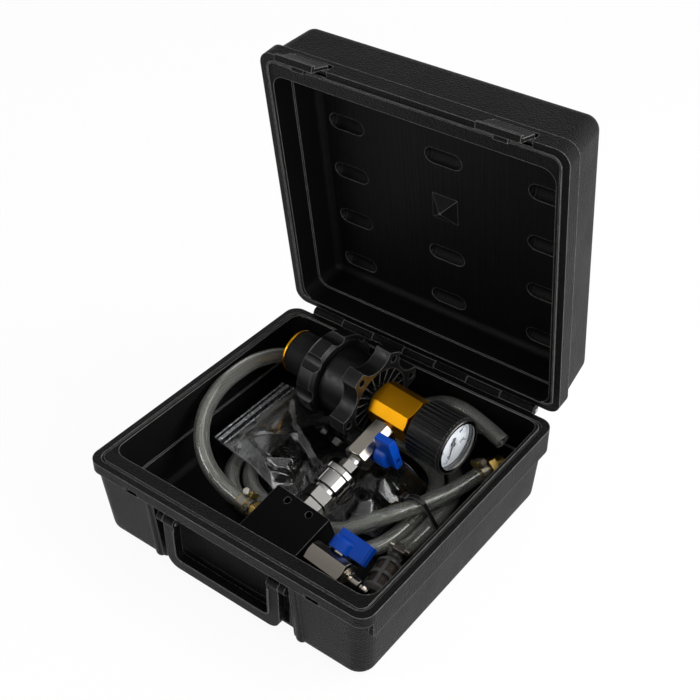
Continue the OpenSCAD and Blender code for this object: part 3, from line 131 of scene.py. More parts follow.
# Lines of the metals: noise scales along the axes given
TURNED = (900.0, 900.0, 900.0)
MILLED = (300.0, 900.0, 900.0)
POLISHED = (120.0, 1500.0, 120.0)
DRAWN = (200.0, 1500.0, 1500.0)
MACHINED = (40.0, 2600.0, 2600.0)
BLOCK_BLACK = (0.0016, 0.0016, 0.0016)
HANDWHEEL_BLACK = (0.004, 0.004, 0.0042)
# Clamp band: half width of its bare middle, and where its tint is full
BAND_BARE = 0.0018
BAND_TINTED = 0.0042


class Finish:
    """A procedural material in the making"""

    def __init__(self, name, colour, roughness, metallic=0.0):
        self.material = bpy.data.materials.new(name)
        self.material.use_nodes = True
        self.nodes = self.material.node_tree.nodes
        self.links = self.material.node_tree.links
        self.shader = self.nodes["Principled BSDF"]
        self.set("Base Color", (*colour, 1.0))
        self.set("Roughness", roughness)
        self.set("Metallic", metallic)

    def set(self, socket, value):
        self.shader.inputs[socket].default_value = value

    def feed(self, socket, output):
        self.links.new(output, self.shader.inputs[socket])

    def add(self, kind, settings=None, **inputs):
        """Adds a node. An input is a number, a colour or another node's output."""
        node = self.nodes.new(kind)
        for key, value in (settings or {}).items():
            setattr(node, key, value)
        for key, value in inputs.items():
            socket = node.inputs[int(key[1:])] if key[1:].isdigit() else node.inputs[key.replace("_", " ")]
            if isinstance(value, bpy.types.NodeSocket):
                self.links.new(value, socket)
            else:
                socket.default_value = value
        return node

    def place(self, scale=(1, 1, 1), turn=(0, 0, 0), shift=(0, 0, 0)):
        coords = self.add("ShaderNodeTexCoord").outputs["Object"]
        mapping = self.add("ShaderNodeMapping", Vector=coords, Scale=scale, Rotation=turn, Location=shift)
        return mapping.outputs["Vector"]

    def noise(self, scale, detail, at=None):
        at = at or self.place()
        return self.add("ShaderNodeTexNoise", Vector=at, Scale=scale, Detail=detail).outputs["Fac"]

    def cells(self, scale):
        return self.add("ShaderNodeTexVoronoi", Vector=self.place(), Scale=scale).outputs["Distance"]

    def calc(self, kind, a, b):
        return self.add("ShaderNodeMath", {"operation": kind}, i0=a, i1=b).outputs[0]

    def dot(self, a, b):
        return self.add("ShaderNodeVectorMath", {"operation": "DOT_PRODUCT"}, i0=a, i1=b).outputs["Value"]

    def ramp(self, fac, low, high, start=0.0, end=1.0):
        node = self.add("ShaderNodeValToRGB", Fac=fac)
        stops = node.color_ramp.elements
        stops[0].position = start
        stops[1].position = end
        stops[0].color = (*low, 1.0)
        stops[1].color = (*high, 1.0)
        return node.outputs["Color"]

    def span(self, fac, low, high, start=0.0, end=1.0):
        node = self.add("ShaderNodeMapRange", Value=fac)
        for socket, value in (("From Min", start), ("From Max", end), ("To Min", low), ("To Max", high)):
            node.inputs[socket].default_value = value
        return node.outputs["Result"]

    def edge(self, radius, gain):
        """Near 1 along sharp edges, and 0 on flats."""
        soft = self.add("ShaderNodeBevel", {"samples": BEVEL_SAMPLES}, Radius=radius).outputs["Normal"]
        flat = self.add("ShaderNodeNewGeometry").outputs["Normal"]
        away = self.calc("SUBTRACT", 1.0, self.dot(soft, flat))
        share = self.add("ShaderNodeMath", {"operation": "MULTIPLY", "use_clamp": True}, i0=away, i1=gain)
        return share.outputs[0]

    def bump(self, height, strength, distance, rounding=0.0):
        node = self.add("ShaderNodeBump", Strength=strength, Distance=distance, Height=height)
        if rounding:
            soft = self.add("ShaderNodeBevel", {"samples": BEVEL_SAMPLES}, Radius=rounding)
            self.links.new(soft.outputs["Normal"], node.inputs["Normal"])
        self.feed("Normal", node.outputs["Normal"])


def painted_edge_highlight(finish, base, highlight_tone, radius, gain):
    """Paints a highlight along the sharp edges of a finish, in a lighter tone."""
    finish.feed("Base Color", finish.ramp(finish.edge(radius, gain), base, highlight_tone))


def case_plastic(name, colours, sizes, turn, shift, inner):
    """Blow-moulded black plastic: leather grain outside, smooth and streaked inside the inner box, and a
    painted highlight along its sharp edges.
    """
    finish = Finish(name, colours.case, 0.45)
    finish.set("Specular IOR Level", 0.09)
    shut = finish.place(turn=turn, shift=shift)
    axes = finish.add("ShaderNodeSeparateXYZ", Vector=shut).outputs
    inside = 1.0
    for axis, low, high in zip(axes, *inner):
        inside = finish.calc("MULTIPLY", finish.calc("GREATER_THAN", axis, low), inside)
        inside = finish.calc("MULTIPLY", finish.calc("LESS_THAN", axis, high), inside)
    outside = finish.calc("SUBTRACT", 1.0, inside)
    leather = finish.calc("MULTIPLY", finish.cells(LEATHER_CELLS), outside)
    grain_at = finish.add("ShaderNodeMapping", Vector=shut, Scale=GRAIN_STRETCH).outputs["Vector"]
    fine = finish.calc("MULTIPLY", finish.noise(1.0, 3.0, grain_at), GRAIN_SHARE)
    streak_at = finish.add("ShaderNodeMapping", Vector=shut, Scale=STREAK_STRETCH).outputs["Vector"]
    streaks = finish.calc("MULTIPLY", finish.noise(1.0, 6.0, streak_at), inside)
    height = finish.calc("ADD", fine, finish.calc("ADD", leather, streaks))
    finish.bump(height, 1.0, sizes.grain, 0.0009)
    cloud = finish.noise(28.0, 5.0)
    finish.feed("Roughness", finish.span(finish.calc("ADD", cloud, streaks), 0.36, 0.56, 0.3, 1.3))
    painted_edge_highlight(finish, colours.case, CASE_EDGE_HIGHLIGHT, 0.001, 2.8)
    return finish.material


def moulded_nylon(name, colour, highlight_tone, gloss=0.17):
    """Glass-filled nylon, with a painted highlight along its edges."""
    finish = Finish(name, colour, 0.4)
    finish.set("Specular IOR Level", gloss)
    finish.feed("Roughness", finish.span(finish.noise(160.0, 4.0), 0.3, 0.5, 0.3, 0.7))
    finish.bump(finish.noise(1400.0, 5.0), 0.3, 0.0002, 0.0009)
    # Painted highlight along the edges
    painted_edge_highlight(finish, colour, (highlight_tone, highlight_tone, 0.97 * highlight_tone), 0.0009, 2.2)
    return finish.material


def matte_rubber(name, colour, highlight_tone=0.05):
    """Matte rubber with a random dusty bloom, and a painted highlight along its edges."""
    finish = Finish(name, colour, 0.62)
    finish.set("Specular IOR Level", 0.16)
    bloom = finish.span(finish.noise(90.0, 6.0), 0.0, 0.12, 0.35, 0.8)
    # The lighter tone colours both the random dusty bloom and the painted highlight along the edges
    tone = finish.calc("ADD", finish.edge(0.0006, 1.8), bloom)
    finish.feed("Base Color", finish.ramp(tone, colour, (highlight_tone, highlight_tone, highlight_tone)))
    finish.bump(finish.noise(2600.0, 3.0), 0.3, 0.00015, 0.0005)
    return finish.material


def brushed_metal(name, colour, roughness, stretch, turn, strength=0.25, metal_edge_highlight=None):
    """Machined or plated metal with fine lines along one direction, and a painted highlight along its edges
    when an edge colour is given.
    """
    finish = Finish(name, colour, roughness, 1.0)
    lines = finish.noise(1.0, 4.0, finish.place(scale=stretch, turn=turn))
    cloud = finish.noise(70.0, 4.0)
    low, high = roughness * 0.75, roughness * 1.3
    finish.feed("Roughness", finish.span(finish.calc("ADD", lines, cloud), low, high, 0.6, 1.4))
    finish.bump(lines, strength, 0.00002, 0.0006)
    # Painted highlight along the edges
    if metal_edge_highlight:
        painted_edge_highlight(finish, colour, metal_edge_highlight, 0.0005, 2.4)
    return finish.material


def band_metal(name, piece, axis, middle, edge):
    """Plated clamp band, bare in the middle of its width and tinted towards its edges."""
    finish = Finish(name, middle, 0.22, 1.0)
    low, high = (Vector(corner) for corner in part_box(piece))
    centre = (low + high) / 2
    coords = finish.add("ShaderNodeTexCoord").outputs["Object"]
    offset = finish.add("ShaderNodeVectorMath", {"operation": "SUBTRACT"}, i0=coords, i1=centre).outputs[0]
    along = finish.dot(offset, axis)
    away = finish.add("ShaderNodeMath", {"operation": "ABSOLUTE"}, i0=along).outputs[0]
    tint = finish.span(away, 0.0, 1.0, BAND_BARE, BAND_TINTED)
    finish.feed("Base Color", finish.ramp(tint, middle, edge))
    finish.feed("Roughness", finish.span(finish.noise(240.0, 4.0), 0.42, 0.56, 0.3, 0.7))
    slots = finish.add("ShaderNodeTexWave", {"bands_direction": "Z"}, Vector=coords, Scale=160.0)
    finish.bump(slots.outputs["Fac"], 0.3, 0.0002, 0.0004)
    return finish.material


def gold_anodised(colours):
    """Gold anodised aluminium, deep amber with a fine machined line."""
    finish = Finish("gold_anodised", colours.gold, 0.24, 1.0)
    lines = finish.noise(1.0, 5.0, finish.place(scale=MACHINED, turn=TOOL_TURN))
    deep = tuple(0.9 * c for c in colours.gold)
    finish.feed("Base Color", finish.ramp(finish.noise(40.0, 3.0), deep, colours.gold, 0.35, 0.7))
    finish.feed("Roughness", finish.span(lines, 0.29, 0.35, 0.3, 0.7))
    finish.bump(lines, 0.02, 0.00002, 0.0007)
    return finish.material


def gloss_lever(colours):
    """Dipped blue vinyl on the levers, with a painted highlight along its edges."""
    finish = Finish("blue_lever", colours.lever, 0.32)
    finish.set("Specular IOR Level", 0.22)
    cloud = finish.noise(120.0, 4.0)
    light = (colours.lever[0] * 2.0, colours.lever[1] * 1.3, min(1.0, colours.lever[2] * 1.2))
    # Lighter at random through the cloud, and along the edges as a painted highlight
    tone = finish.calc("ADD", finish.span(cloud, 0.0, 0.5, 0.35, 0.75), finish.edge(0.0008, 1.6))
    finish.feed("Base Color", finish.ramp(tone, colours.lever, light))
    finish.bump(finish.noise(700.0, 3.0), 0.2, 0.0002, 0.0012)
    return finish.material


def black_anodised():
    """Black anodised block with a painted highlight along its edges."""
    finish = Finish("block_black", BLOCK_BLACK, 0.45)
    finish.set("Specular IOR Level", 0.06)
    finish.feed("Roughness", finish.span(finish.noise(300.0, 5.0), 0.4, 0.54, 0.3, 0.7))
    finish.bump(finish.noise(3500.0, 2.0), 0.2, 0.0001, 0.0003)
    painted_edge_highlight(finish, BLOCK_BLACK, (0.42, 0.42, 0.42), 0.0005, 2.6)
    return finish.material


def clear_hose(colours):
    """Clear flexible hose with a slight haze and a yellow-green body."""
    finish = Finish("clear_pvc", colours.hose, 0.05)
    finish.set("Transmission Weight", 0.94)
    finish.set("IOR", 1.45)
    haze = finish.noise(60.0, 4.0)
    deep = tuple(0.92 * c for c in colours.hose)
    finish.feed("Base Color", finish.ramp(haze, deep, colours.hose, 0.3, 0.75))
    finish.feed("Roughness", finish.span(finish.noise(90.0, 3.0), 0.002, 0.014, 0.3, 0.7))
    finish.bump(finish.noise(20.0, 1.0), 0.03, 0.0006)
    return finish.material


def bag_film():
    """Clear glossy film of the zip bag."""
    finish = Finish("bag_film", (0.98, 0.985, 1.0), 0.05)
    finish.set("Transmission Weight", 1.0)
    finish.set("IOR", 1.55)
    finish.set("Alpha", 0.85)
    finish.feed("Roughness", finish.span(finish.noise(60.0, 3.0), 0.03, 0.1, 0.3, 0.7))
    finish.bump(finish.noise(55.0, 2.0), 0.1, 0.0006)
    return finish.material


def zip_plastic():
    """Frosted plastic of the bag's zip."""
    finish = Finish("zip_plastic", (0.86, 0.88, 0.92), 0.25)
    finish.set("Transmission Weight", 0.75)
    finish.set("IOR", 1.45)
    finish.feed("Roughness", finish.span(finish.noise(200.0, 3.0), 0.18, 0.34, 0.3, 0.7))
    finish.bump(finish.noise(400.0, 3.0), 0.15, 0.0002)
    return finish.material


def wire_mesh():
    """Woven wire of the strainer."""
    finish = Finish("mesh_steel", (0.12, 0.09, 0.07), 0.5, 0.4)
    weave = finish.cells(1500.0)
    finish.feed("Base Color", finish.ramp(weave, (0.17, 0.125, 0.09), (0.015, 0.012, 0.01), 0.25, 0.6))
    finish.bump(weave, 0.8, 0.0004)
    return finish.material


def cloudy_plastic():
    """Translucent grey strainer plastic."""
    finish = Finish("strainer_plastic", (0.16, 0.155, 0.15), 0.4)
    finish.set("Transmission Weight", 0.5)
    finish.set("IOR", 1.4)
    cloud = finish.noise(110.0, 4.0)
    finish.feed("Base Color", finish.ramp(cloud, (0.12, 0.117, 0.11), (0.2, 0.195, 0.19), 0.3, 0.7))
    finish.bump(finish.noise(900.0, 3.0), 0.2, 0.0002, 0.0005)
    return finish.material


def enamel(name, colour, light, roughness):
    """Stoved enamel with a slight unevenness."""
    finish = Finish(name, colour, roughness)
    finish.feed("Base Color", finish.ramp(finish.noise(90.0, 4.0), colour, light, 0.3, 0.75))
    finish.bump(finish.noise(1200.0, 3.0), 0.12, 0.0001, 0.0004)
    return finish.material


def clear_window():
    """Clear gauge window."""
    finish = Finish("lens_clear", (1.0, 1.0, 1.0), 0.02)
    finish.set("Transmission Weight", 1.0)
    finish.set("IOR", 1.35)
    finish.set("Alpha", 0.14)
    finish.feed("Roughness", finish.span(finish.noise(80.0, 3.0), 0.01, 0.05, 0.4, 0.8))
    return finish.material


def dress(material, *names):
    """Gives CAD nodes their finish."""
    for name in names:
        mesh = NODES[name].data
        mesh.materials.clear()
        mesh.materials.append(material)


def kit_settings(context):
    return context.scene.kit_sizes, context.scene.kit_colours


# Modelling helpers

SMOOTH_SOLID = math.radians(40)
SMOOTH_RIBS = math.radians(50)
SMOOTH_FILM = math.radians(55)
MERGE_SOLID = 0.000001
MERGE_FILM = 0.00001


def deselect():
    if bpy.context.mode != "OBJECT":
        bpy.ops.object.mode_set(mode="OBJECT")
    bpy.ops.object.select_all(action="DESELECT")


def pick(obj):
    deselect()
    obj.select_set(True)
    bpy.context.view_layer.objects.active = obj


def select_faces(obj, test):
    """Leaves the piece in edit mode with the faces that pass the test selected."""
    pick(obj)
    bpy.ops.object.mode_set(mode="EDIT")
    bpy.ops.mesh.select_mode(type="FACE")
    bpy.ops.mesh.select_all(action="DESELECT")
    bpy.ops.object.mode_set(mode="OBJECT")
    for face in obj.data.polygons:
        face.select = test(face)
    bpy.ops.object.mode_set(mode="EDIT")


def apply_modifier(obj, kind, **settings):
    pick(obj)
    modifier = obj.modifiers.new(kind.lower(), kind)
    for key, value in settings.items():
        setattr(modifier, key, value)
    bpy.ops.object.modifier_apply(modifier=modifier.name)


def settle(obj, matrix):
    """Puts a piece in its place, with the place in its mesh."""
    obj.data.transform(matrix @ obj.matrix_world)
    obj.matrix_world = Matrix.Identity(4)


def join(pieces, name):
    deselect()
    for piece in pieces:
        piece.select_set(True)
    bpy.context.view_layer.objects.active = pieces[0]
    if len(pieces) > 1:
        bpy.ops.object.join()
    pieces[0].name = name
    pieces[0].data.name = name
    return pieces[0]


def own(obj, material, body):
    obj.data.materials.clear()
    obj.data.materials.append(material)
    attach(obj, body)
    return obj


def curve_through(points, steps):
    """Smooth curve through points, as the hose solids follow it."""
    line = []
    last = len(points) - 1
    for i in range(last):
        a, b, c, d = (points[max(0, min(last, i + k))] for k in (-1, 0, 1, 2))
        for k in range(steps):
            t = k / steps
            line.append(0.5 * (2 * b + (c - a) * t + (2 * a - 5 * b + 4 * c - d) * t * t
                               + (3 * b - a - 3 * c + d) * t * t * t))
    return line + [points[-1]]


def hose(name, line, sizes):
    """An open clear tube along a line, with its wall."""
    curve = bpy.data.curves.new(name, "CURVE")
    curve.dimensions = "3D"
    curve.bevel_depth = sizes.hose_od / 2
    curve.bevel_resolution = HOSE_FACETS
    spline = curve.splines.new("POLY")
    spline.points.add(len(line) - 1)
    for point, at in zip(spline.points, line):
        point.co = (*at, 1.0)
    obj = bpy.data.objects.new(name, curve)
    bpy.context.collection.objects.link(obj)
    pick(obj)
    bpy.ops.object.convert(target="MESH")
    apply_modifier(obj, "SOLIDIFY", thickness=sizes.hose_wall, offset=-1.0)
    pick(obj)
    bpy.ops.object.shade_smooth()
    return obj


# Hose routes, repeated from the part's source in its millimetres
EXHAUST_FREE = [(-64, -56.6, 33), (-85, -51, 40), (-103.5, -38.5, 51), (-116, -18, 62),
                (-121, 6, 69), (-121.5, 32, 71), (-120.5, 56, 68.5), (-115.5, 79.5, 62),
                (-103.5, 98.5, 53.5), (-86, 111, 45), (-64, 115.5, 36.5), (-42, 115.5, 30),
                (-22, 115.5, 28.5), (-4, 115.6, 31.5), (12, 116, 39.5), (27, 116.6, 51),
                (43, 117, 60), (62, 115.5, 63), (84, 112, 60.5), (106, 108, 56)]
HOSE_START = -40.5
HOSE_BORE_Y = -143.8
HOSE_OD = 14.0
HOSE_FACETS = 14
HOSE_Z = 12.4
COIL_MID = (-6, 26)
COIL_RX = 97
COIL_RY = 89
COIL_STEP = 15
COIL_CLIMB = 15
COIL_START = -8
COIL_SQUARE = 2.8
# Rings in each turn, and the ring at which the tail leaves the coil
COIL_RINGS = 24
COIL_END = 45
# In turns: the climb on to the coil, and the lift where the tie goes under it
CLIMB_FROM = 1.72
CLIMB_OVER = 0.28
TIE_AT = 0.02
LIFT_OVER = 0.14
TIE_LIFT = 2.1
TOP_Z = HOSE_Z + COIL_CLIMB + TIE_LIFT + 0.6
STRAINER_NOSE = Vector((97, -66, 16.4))
STRAINER_DIR = Vector((-0.18, 0.9837, 0))
STRAINER_LEN = 38
STRAINER_GAP = 2
FEED_JOIN = Vector((89.5, -2, HOSE_Z + 1))
FEED_TAIL = [(64, 0, TOP_Z - 0.4), (77, 23, TOP_Z), (90, 53, 30), (98, 80, 32)]
FEED_LAST = Vector((0.28, 0.96, 0))
# Points between two given ones, on the exhaust hose and on the feed hose's two ends
EXHAUST_STEPS = 8
HEAD_STEPS = 4
TAIL_STEPS = 6


def coil_point(s):
    """A point of the coil after s turns, in millimetres."""
    angle = math.radians(COIL_START + 360 * s)

    def squared(v):
        return math.copysign(abs(v) ** (2 / COIL_SQUARE), v)

    rise = 0.0
    if s > CLIMB_FROM:
        rise = (1 - math.cos(math.pi * min(1, (s - CLIMB_FROM) / CLIMB_OVER))) / 2
    away = abs(s - TIE_AT - round(s - TIE_AT))
    lift = TIE_LIFT * (1 + math.cos(math.pi * away / LIFT_OVER)) / 2 if away < LIFT_OVER else 0.0
    return Vector((COIL_MID[0] + (COIL_RX - COIL_STEP * s) * squared(math.cos(angle)),
                   COIL_MID[1] + (COIL_RY - COIL_STEP * s) * squared(math.sin(angle)),
                   HOSE_Z + COIL_CLIMB * rise + lift))


class KIT_OT_hoses(bpy.types.Operator):
    """Clear exhaust hose and coiled feed hose"""

    bl_idname = "kit.hoses"
    bl_label = "Hoses"

    def execute(self, context):
        sizes, colours = kit_settings(context)
        clear = clear_hose(colours)
        starts = [TOOL @ (Vector((HOSE_START - k * HOSE_OD, HOSE_BORE_Y, 0)) * MM) for k in (0, 1)]
        line = curve_through(starts + [Vector(p) * MM for p in EXHAUST_FREE], EXHAUST_STEPS)
        exhaust = own(hose("exhaust_tube", line, sizes), clear, "kit")
        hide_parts("exhaust_hose")

        first = STRAINER_NOSE + STRAINER_DIR * (STRAINER_LEN + STRAINER_GAP)
        second = first + STRAINER_DIR * HOSE_OD
        turns = [coil_point(i / 2 / COIL_RINGS) for i in range(2, 2 * COIL_END + 1)]
        head = curve_through([second, FEED_JOIN, coil_point(TIE_AT), turns[0]], HEAD_STEPS)
        tail = [Vector(p) for p in FEED_TAIL]
        tail = curve_through([turns[-1]] + tail + [tail[-1] + FEED_LAST * HOSE_OD], TAIL_STEPS)
        line = [p * MM for p in [first] + head + turns[1:-1] + tail]
        feed = own(hose("feed_tube", line, sizes), clear, "kit")
        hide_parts("feed_hose")
        return {"FINISHED"}


# Zip bag, in the space that its solid holds, in millimetres
BAG_X0 = -113
BAG_L = 172
BAG_W = 102
BAG_ALONG = 150
BAG_ACROSS = 84
BAG_FLOOR = 5.6
# Stations along the bag: where the flat zip end stops, where it is full, tapers and closes
BAG_NECK = 0.28
BAG_FULL = 0.4
BAG_TAPER = 0.78
BAG_CLOSE = 0.86
# Half thickness and height at the zip and at the neck, the middle's Y, and the belly past the neck
ZIP_HALF_T = 1.6
ZIP_Z = 32
NECK_HALF_T = 2.72
NECK_Z = 28.9
NECK_FALL = 90
BAG_Y = 31
BELLY = 7.6
BELLY_OVER = 0.25
# Ribs of the zip: stations, radius in metres, and share of the bag's width
ZIP_RIBS = (0.018, 0.042, 0.052, 0.085)
ZIP_RIB_R = 0.0007
ZIP_RIB_SHARE = 0.97
ZIP_RIB_SIDES = 10
# Adapter cones under the film: plan, radius and height
CONES = [(-13, 31, 21, 16.5), (26, 44.2, 14.6, 15.5), (30, 12.7, 12.5, 15)]
CONE_FOOT = 7.0
CONE_FLAT = 0.58
CONE_SLOPE = 0.85
CONE_CLEAR = 0.5
# Width of the film's slack waves and of its small kinks
SLACK_SIZE = 34
KINK_SIZE = 11
# Crests of the film: reach of the slope on each side, height, and the crest's points in plan
CRESTS = [(10, 1.0, ((-98, -14), (-88, -2), (-69, -5), (-51, -13))),
          (7, 0.9, ((-51, -13), (-38, -3))),
          (7, 0.85, ((-62, -5), (-45, 11))),
          (9, 0.8, ((-92, 72), (-66, 44), (-40, 34))),
          (12, 0.6, ((-96, 12), (-74, 24), (-60, 40))),
          (8, 1.0, ((-29, 8), (-9, -6))),
          (8, 0.9, ((-29, 8), (-22, -12))),
          (9, 1.0, ((32, 44), (37, 22), (46, 0))),
          (7, 0.9, ((34, 54), (48, 52), (56, 36))),
          (10, 0.7, ((-50, 62), (-12, 66), (22, 71))),
          (8, 0.7, ((-4, 8), (18, -4), (34, -12))),
          (7, 0.6, ((4, 52), (14, 40), (16, 22)))]


def bag_section(s):
    """Half width, half thickness, middle height and middle Y of the bag at station s."""
    half_w = BAG_W / 2 * (1 - 0.9 * max(0.0, s - BAG_TAPER)) * (0.94 + 0.06 * math.sin(math.pi * s))
    if s < BAG_NECK:
        return half_w, ZIP_HALF_T + 4 * s, ZIP_Z - 40 * s * s, BAG_Y - s
    swell = math.sin(math.pi / 2 * min(1, (s - BAG_NECK) / BELLY_OVER))
    half_t = NECK_HALF_T + BELLY * swell - max(0.0, 46 * (s - BAG_CLOSE))
    return half_w, half_t, max(5.4 + half_t, NECK_Z - NECK_FALL * (s - BAG_NECK)), BAG_Y - s


def away_from(at, a, b):
    """Distance of a point from the stretch between two others, in plan."""
    along = b - a
    t = max(0.0, min(1.0, (at - a).dot(along) / along.length_squared))
    return (at - a - along * t).length


def creases(x, y):
    """Sharp crests of drawn film with slack between them, from 0 to 1."""
    at = Vector((x, y))
    slack = 0.5 + 0.5 * noise.noise(Vector((x / SLACK_SIZE, y / SLACK_SIZE, 3.1)))
    kink = 0.5 + 0.5 * noise.noise(Vector((x / KINK_SIZE, y / KINK_SIZE, 7.7)))
    top = 0.36 * slack + 0.05 * kink
    for reach, height, points in CRESTS:
        for a, b in zip(points, points[1:]):
            away = away_from(at, Vector(a), Vector(b))
            top = max(top, height * (1 - away / (reach * (0.7 + 0.6 * slack))))
    return top


def tents(x, y):
    """Height of the film over the adapter cones."""
    top = 0.0
    for cx, cy, r, h in CONES:
        away = math.hypot(x - cx, y - cy)
        tall = h if away < CONE_FLAT * r else h - CONE_SLOPE * (away - CONE_FLAT * r)
        top = max(top, CONE_FOOT + tall + CONE_CLEAR)
    return top


def bag_point(s, v, upper, crumple):
    """A point of the film at station s and v across it, on its upper or lower side, in millimetres."""
    half_w, half_t, mid_z, mid_y = bag_section(s)
    x = BAG_X0 + BAG_L * s
    y = mid_y + half_w * v
    full = max(0.0, 1 - abs(v) ** 3) ** 0.5
    crest = creases(x, y if upper else y + 40)
    slack = 0.12 if s < 0.12 else min(1.0, 0.12 + (s - 0.12) * 8)
    if upper:
        low = mid_z - 0.5 * half_t
        high = mid_z + half_t * full
        z = high - crumple * slack * (1 - crest) * (0.35 + full)
        if s > BAG_FULL:
            drape = max(BAG_FLOOR + 1.2 + crumple * 1.6 * crest, tents(x, y) + crumple * 0.4 * crest)
            share = min(1.0, (s - BAG_FULL) / 0.12)
            z = (1 - share) * z + share * min(high, drape)
        return Vector((x, y, max(z, low if s < BAG_FULL else BAG_FLOOR + 0.4)))
    z = mid_z - half_t * full + 0.3 * crumple * slack * crest * full
    return Vector((x, y, max(z, BAG_FLOOR)))


class KIT_OT_bag(bpy.types.Operator):
    """Zip bag of clear film, drawn down over the adapters"""

    bl_idname = "kit.bag"
    bl_label = "Zip bag"

    def execute(self, context):
        sizes = context.scene.kit_sizes
        crumple = sizes.crumple / MM
        rows = []
        for i in range(BAG_ALONG + 1):
            s = i / BAG_ALONG
            across = [2 * j / BAG_ACROSS - 1 for j in range(BAG_ACROSS + 1)]
            over = [bag_point(s, v, True, crumple) for v in across]
            under = [bag_point(s, v, False, crumple) for v in reversed(across[1:-1])]
            rows.append(over + under)
        ring = len(rows[0])
        verts = [p * MM for row in rows for p in row]
        faces = []
        for i in range(BAG_ALONG):
            for j in range(ring):
                k = (j + 1) % ring
                faces.append((i * ring + j, i * ring + k, (i + 1) * ring + k, (i + 1) * ring + j))
        last = BAG_ALONG * ring
        for j in range(BAG_ACROSS):
            faces.append((last + j, last + j + 1, last + (ring - j - 1) % ring, last + (ring - j) % ring))
        mesh = bpy.data.meshes.new("bag_film")
        mesh.from_pydata(verts, [], faces)
        film = bpy.data.objects.new("bag_film", mesh)
        context.collection.objects.link(film)
        pick(film)
        bpy.ops.object.mode_set(mode="EDIT")
        bpy.ops.mesh.select_all(action="SELECT")
        bpy.ops.mesh.remove_doubles(threshold=MERGE_FILM)
        bpy.ops.mesh.normals_make_consistent(inside=False)
        bpy.ops.object.mode_set(mode="OBJECT")
        apply_modifier(film, "SOLIDIFY", thickness=sizes.film, offset=0.0)
        pick(film)
        bpy.ops.object.shade_smooth_by_angle(angle=SMOOTH_FILM)
        own(film, bag_film(), "kit")
        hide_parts("zip_bag")
        ribs = []
        for along in ZIP_RIBS:
            half_w, half_t, mid_z, mid_y = bag_section(along)
            at = Vector((BAG_X0 + BAG_L * along, mid_y, mid_z + 0.55 * half_t)) * MM
            deselect()
            bpy.ops.mesh.primitive_cylinder_add(vertices=ZIP_RIB_SIDES, radius=ZIP_RIB_R,
                                                depth=2 * half_w * ZIP_RIB_SHARE * MM,
                                                location=at, rotation=(math.pi / 2, 0, 0))
            ribs.append(context.object)
        for rib in ribs:
            settle(rib, Matrix.Identity(4))
        strip = join(ribs, "zip_ribs")
        pick(strip)
        bpy.ops.object.shade_smooth_by_angle(angle=SMOOTH_RIBS)
        own(strip, zip_plastic(), "kit")
        return {"FINISHED"}


# Gauge face, in millimetres and degrees
DIAL_R = 21.8
DIAL_START = 234
DIAL_SWEEP = 270
NUMBER_STEP = 20
NUMBER_SIZE = 4.2
NUMBER_BOLD = 0.16
NUMBER_RISE = 0.04
NUMBER_IN = 8.6
MARKS_IN = 2.2
MARKS_PER_NUMBER = 10
# Length, width and height of a numbered mark, a middle one and a small one
MARK_SIZES = ((3.6, 0.9, 0.08), (2.4, 0.4, 0.08), (1.6, 0.4, 0.08))
PRINT_LIFT = 0.06


def on_dial(angle, radius, lift):
    """Place on the dial at an angle and radius, in millimetres, facing the viewer."""
    turn = math.radians(angle)
    right = TOOL_Y * math.cos(turn) + TOOL_Z * math.sin(turn)
    return TOOL_AT + TOOL_X * (DIAL_X + lift) * MM + right * radius * MM


class KIT_OT_gauge(bpy.types.Operator):
    """Marks and numbers of the gauge's dial"""

    bl_idname = "kit.gauge"
    bl_label = "Gauge face"

    def execute(self, context):
        sizes = context.scene.kit_sizes
        ink = enamel("dial_ink", (0.008, 0.016, 0.05), (0.012, 0.03, 0.11), 0.5)
        face = Matrix((TOOL_Y, TOOL_Z, TOOL_X)).transposed()
        steps = sizes.dial_marks * MARKS_PER_NUMBER
        marks = []
        for i in range(steps + 1):
            angle = DIAL_START - DIAL_SWEEP * i / steps
            size = MARK_SIZES[2]
            if i % MARKS_PER_NUMBER == 0:
                size = MARK_SIZES[0]
            elif i % (MARKS_PER_NUMBER // 2) == 0:
                size = MARK_SIZES[1]
            deselect()
            bpy.ops.mesh.primitive_cube_add(size=1.0)
            mark = context.object
            mark.data.transform(Matrix.Diagonal((*(v * MM for v in size), 1.0)))
            place = face @ Matrix.Rotation(math.radians(angle), 3, "Z")
            spot = on_dial(angle, DIAL_R - MARKS_IN - size[0] / 2, PRINT_LIFT)
            settle(mark, Matrix.Translation(spot) @ place.to_4x4())
            marks.append(mark)
        for i in range(sizes.dial_marks + 1):
            angle = DIAL_START - DIAL_SWEEP * i / sizes.dial_marks
            deselect()
            bpy.ops.object.text_add()
            number = context.object
            number.data.body = str(i * NUMBER_STEP)
            number.data.size = NUMBER_SIZE * MM
            number.data.align_x = "CENTER"
            number.data.align_y = "CENTER"
            number.data.extrude = NUMBER_RISE * MM
            number.data.offset = NUMBER_BOLD * MM
            pick(number)
            bpy.ops.object.convert(target="MESH")
            spot = on_dial(angle, DIAL_R - NUMBER_IN, PRINT_LIFT)
            settle(number, Matrix.Translation(spot) @ face.to_4x4())
            marks.append(number)
        own(join(marks, "dial_print"), ink, "kit")
        return {"FINISHED"}


# Rubber sleeve and coupler spring, copied as pieces of their own: node, slot of its finish, joint, axis,
# and the play in millimetres before the sliding piece meets it
YIELDING = [("rubber_sleeve", "black_rubber", "collar_slide", TOOL_X, 0.3),
            ("coupler_spring", "pin_steel", "sleeve_slide", TOOL_Y, -0.1)]


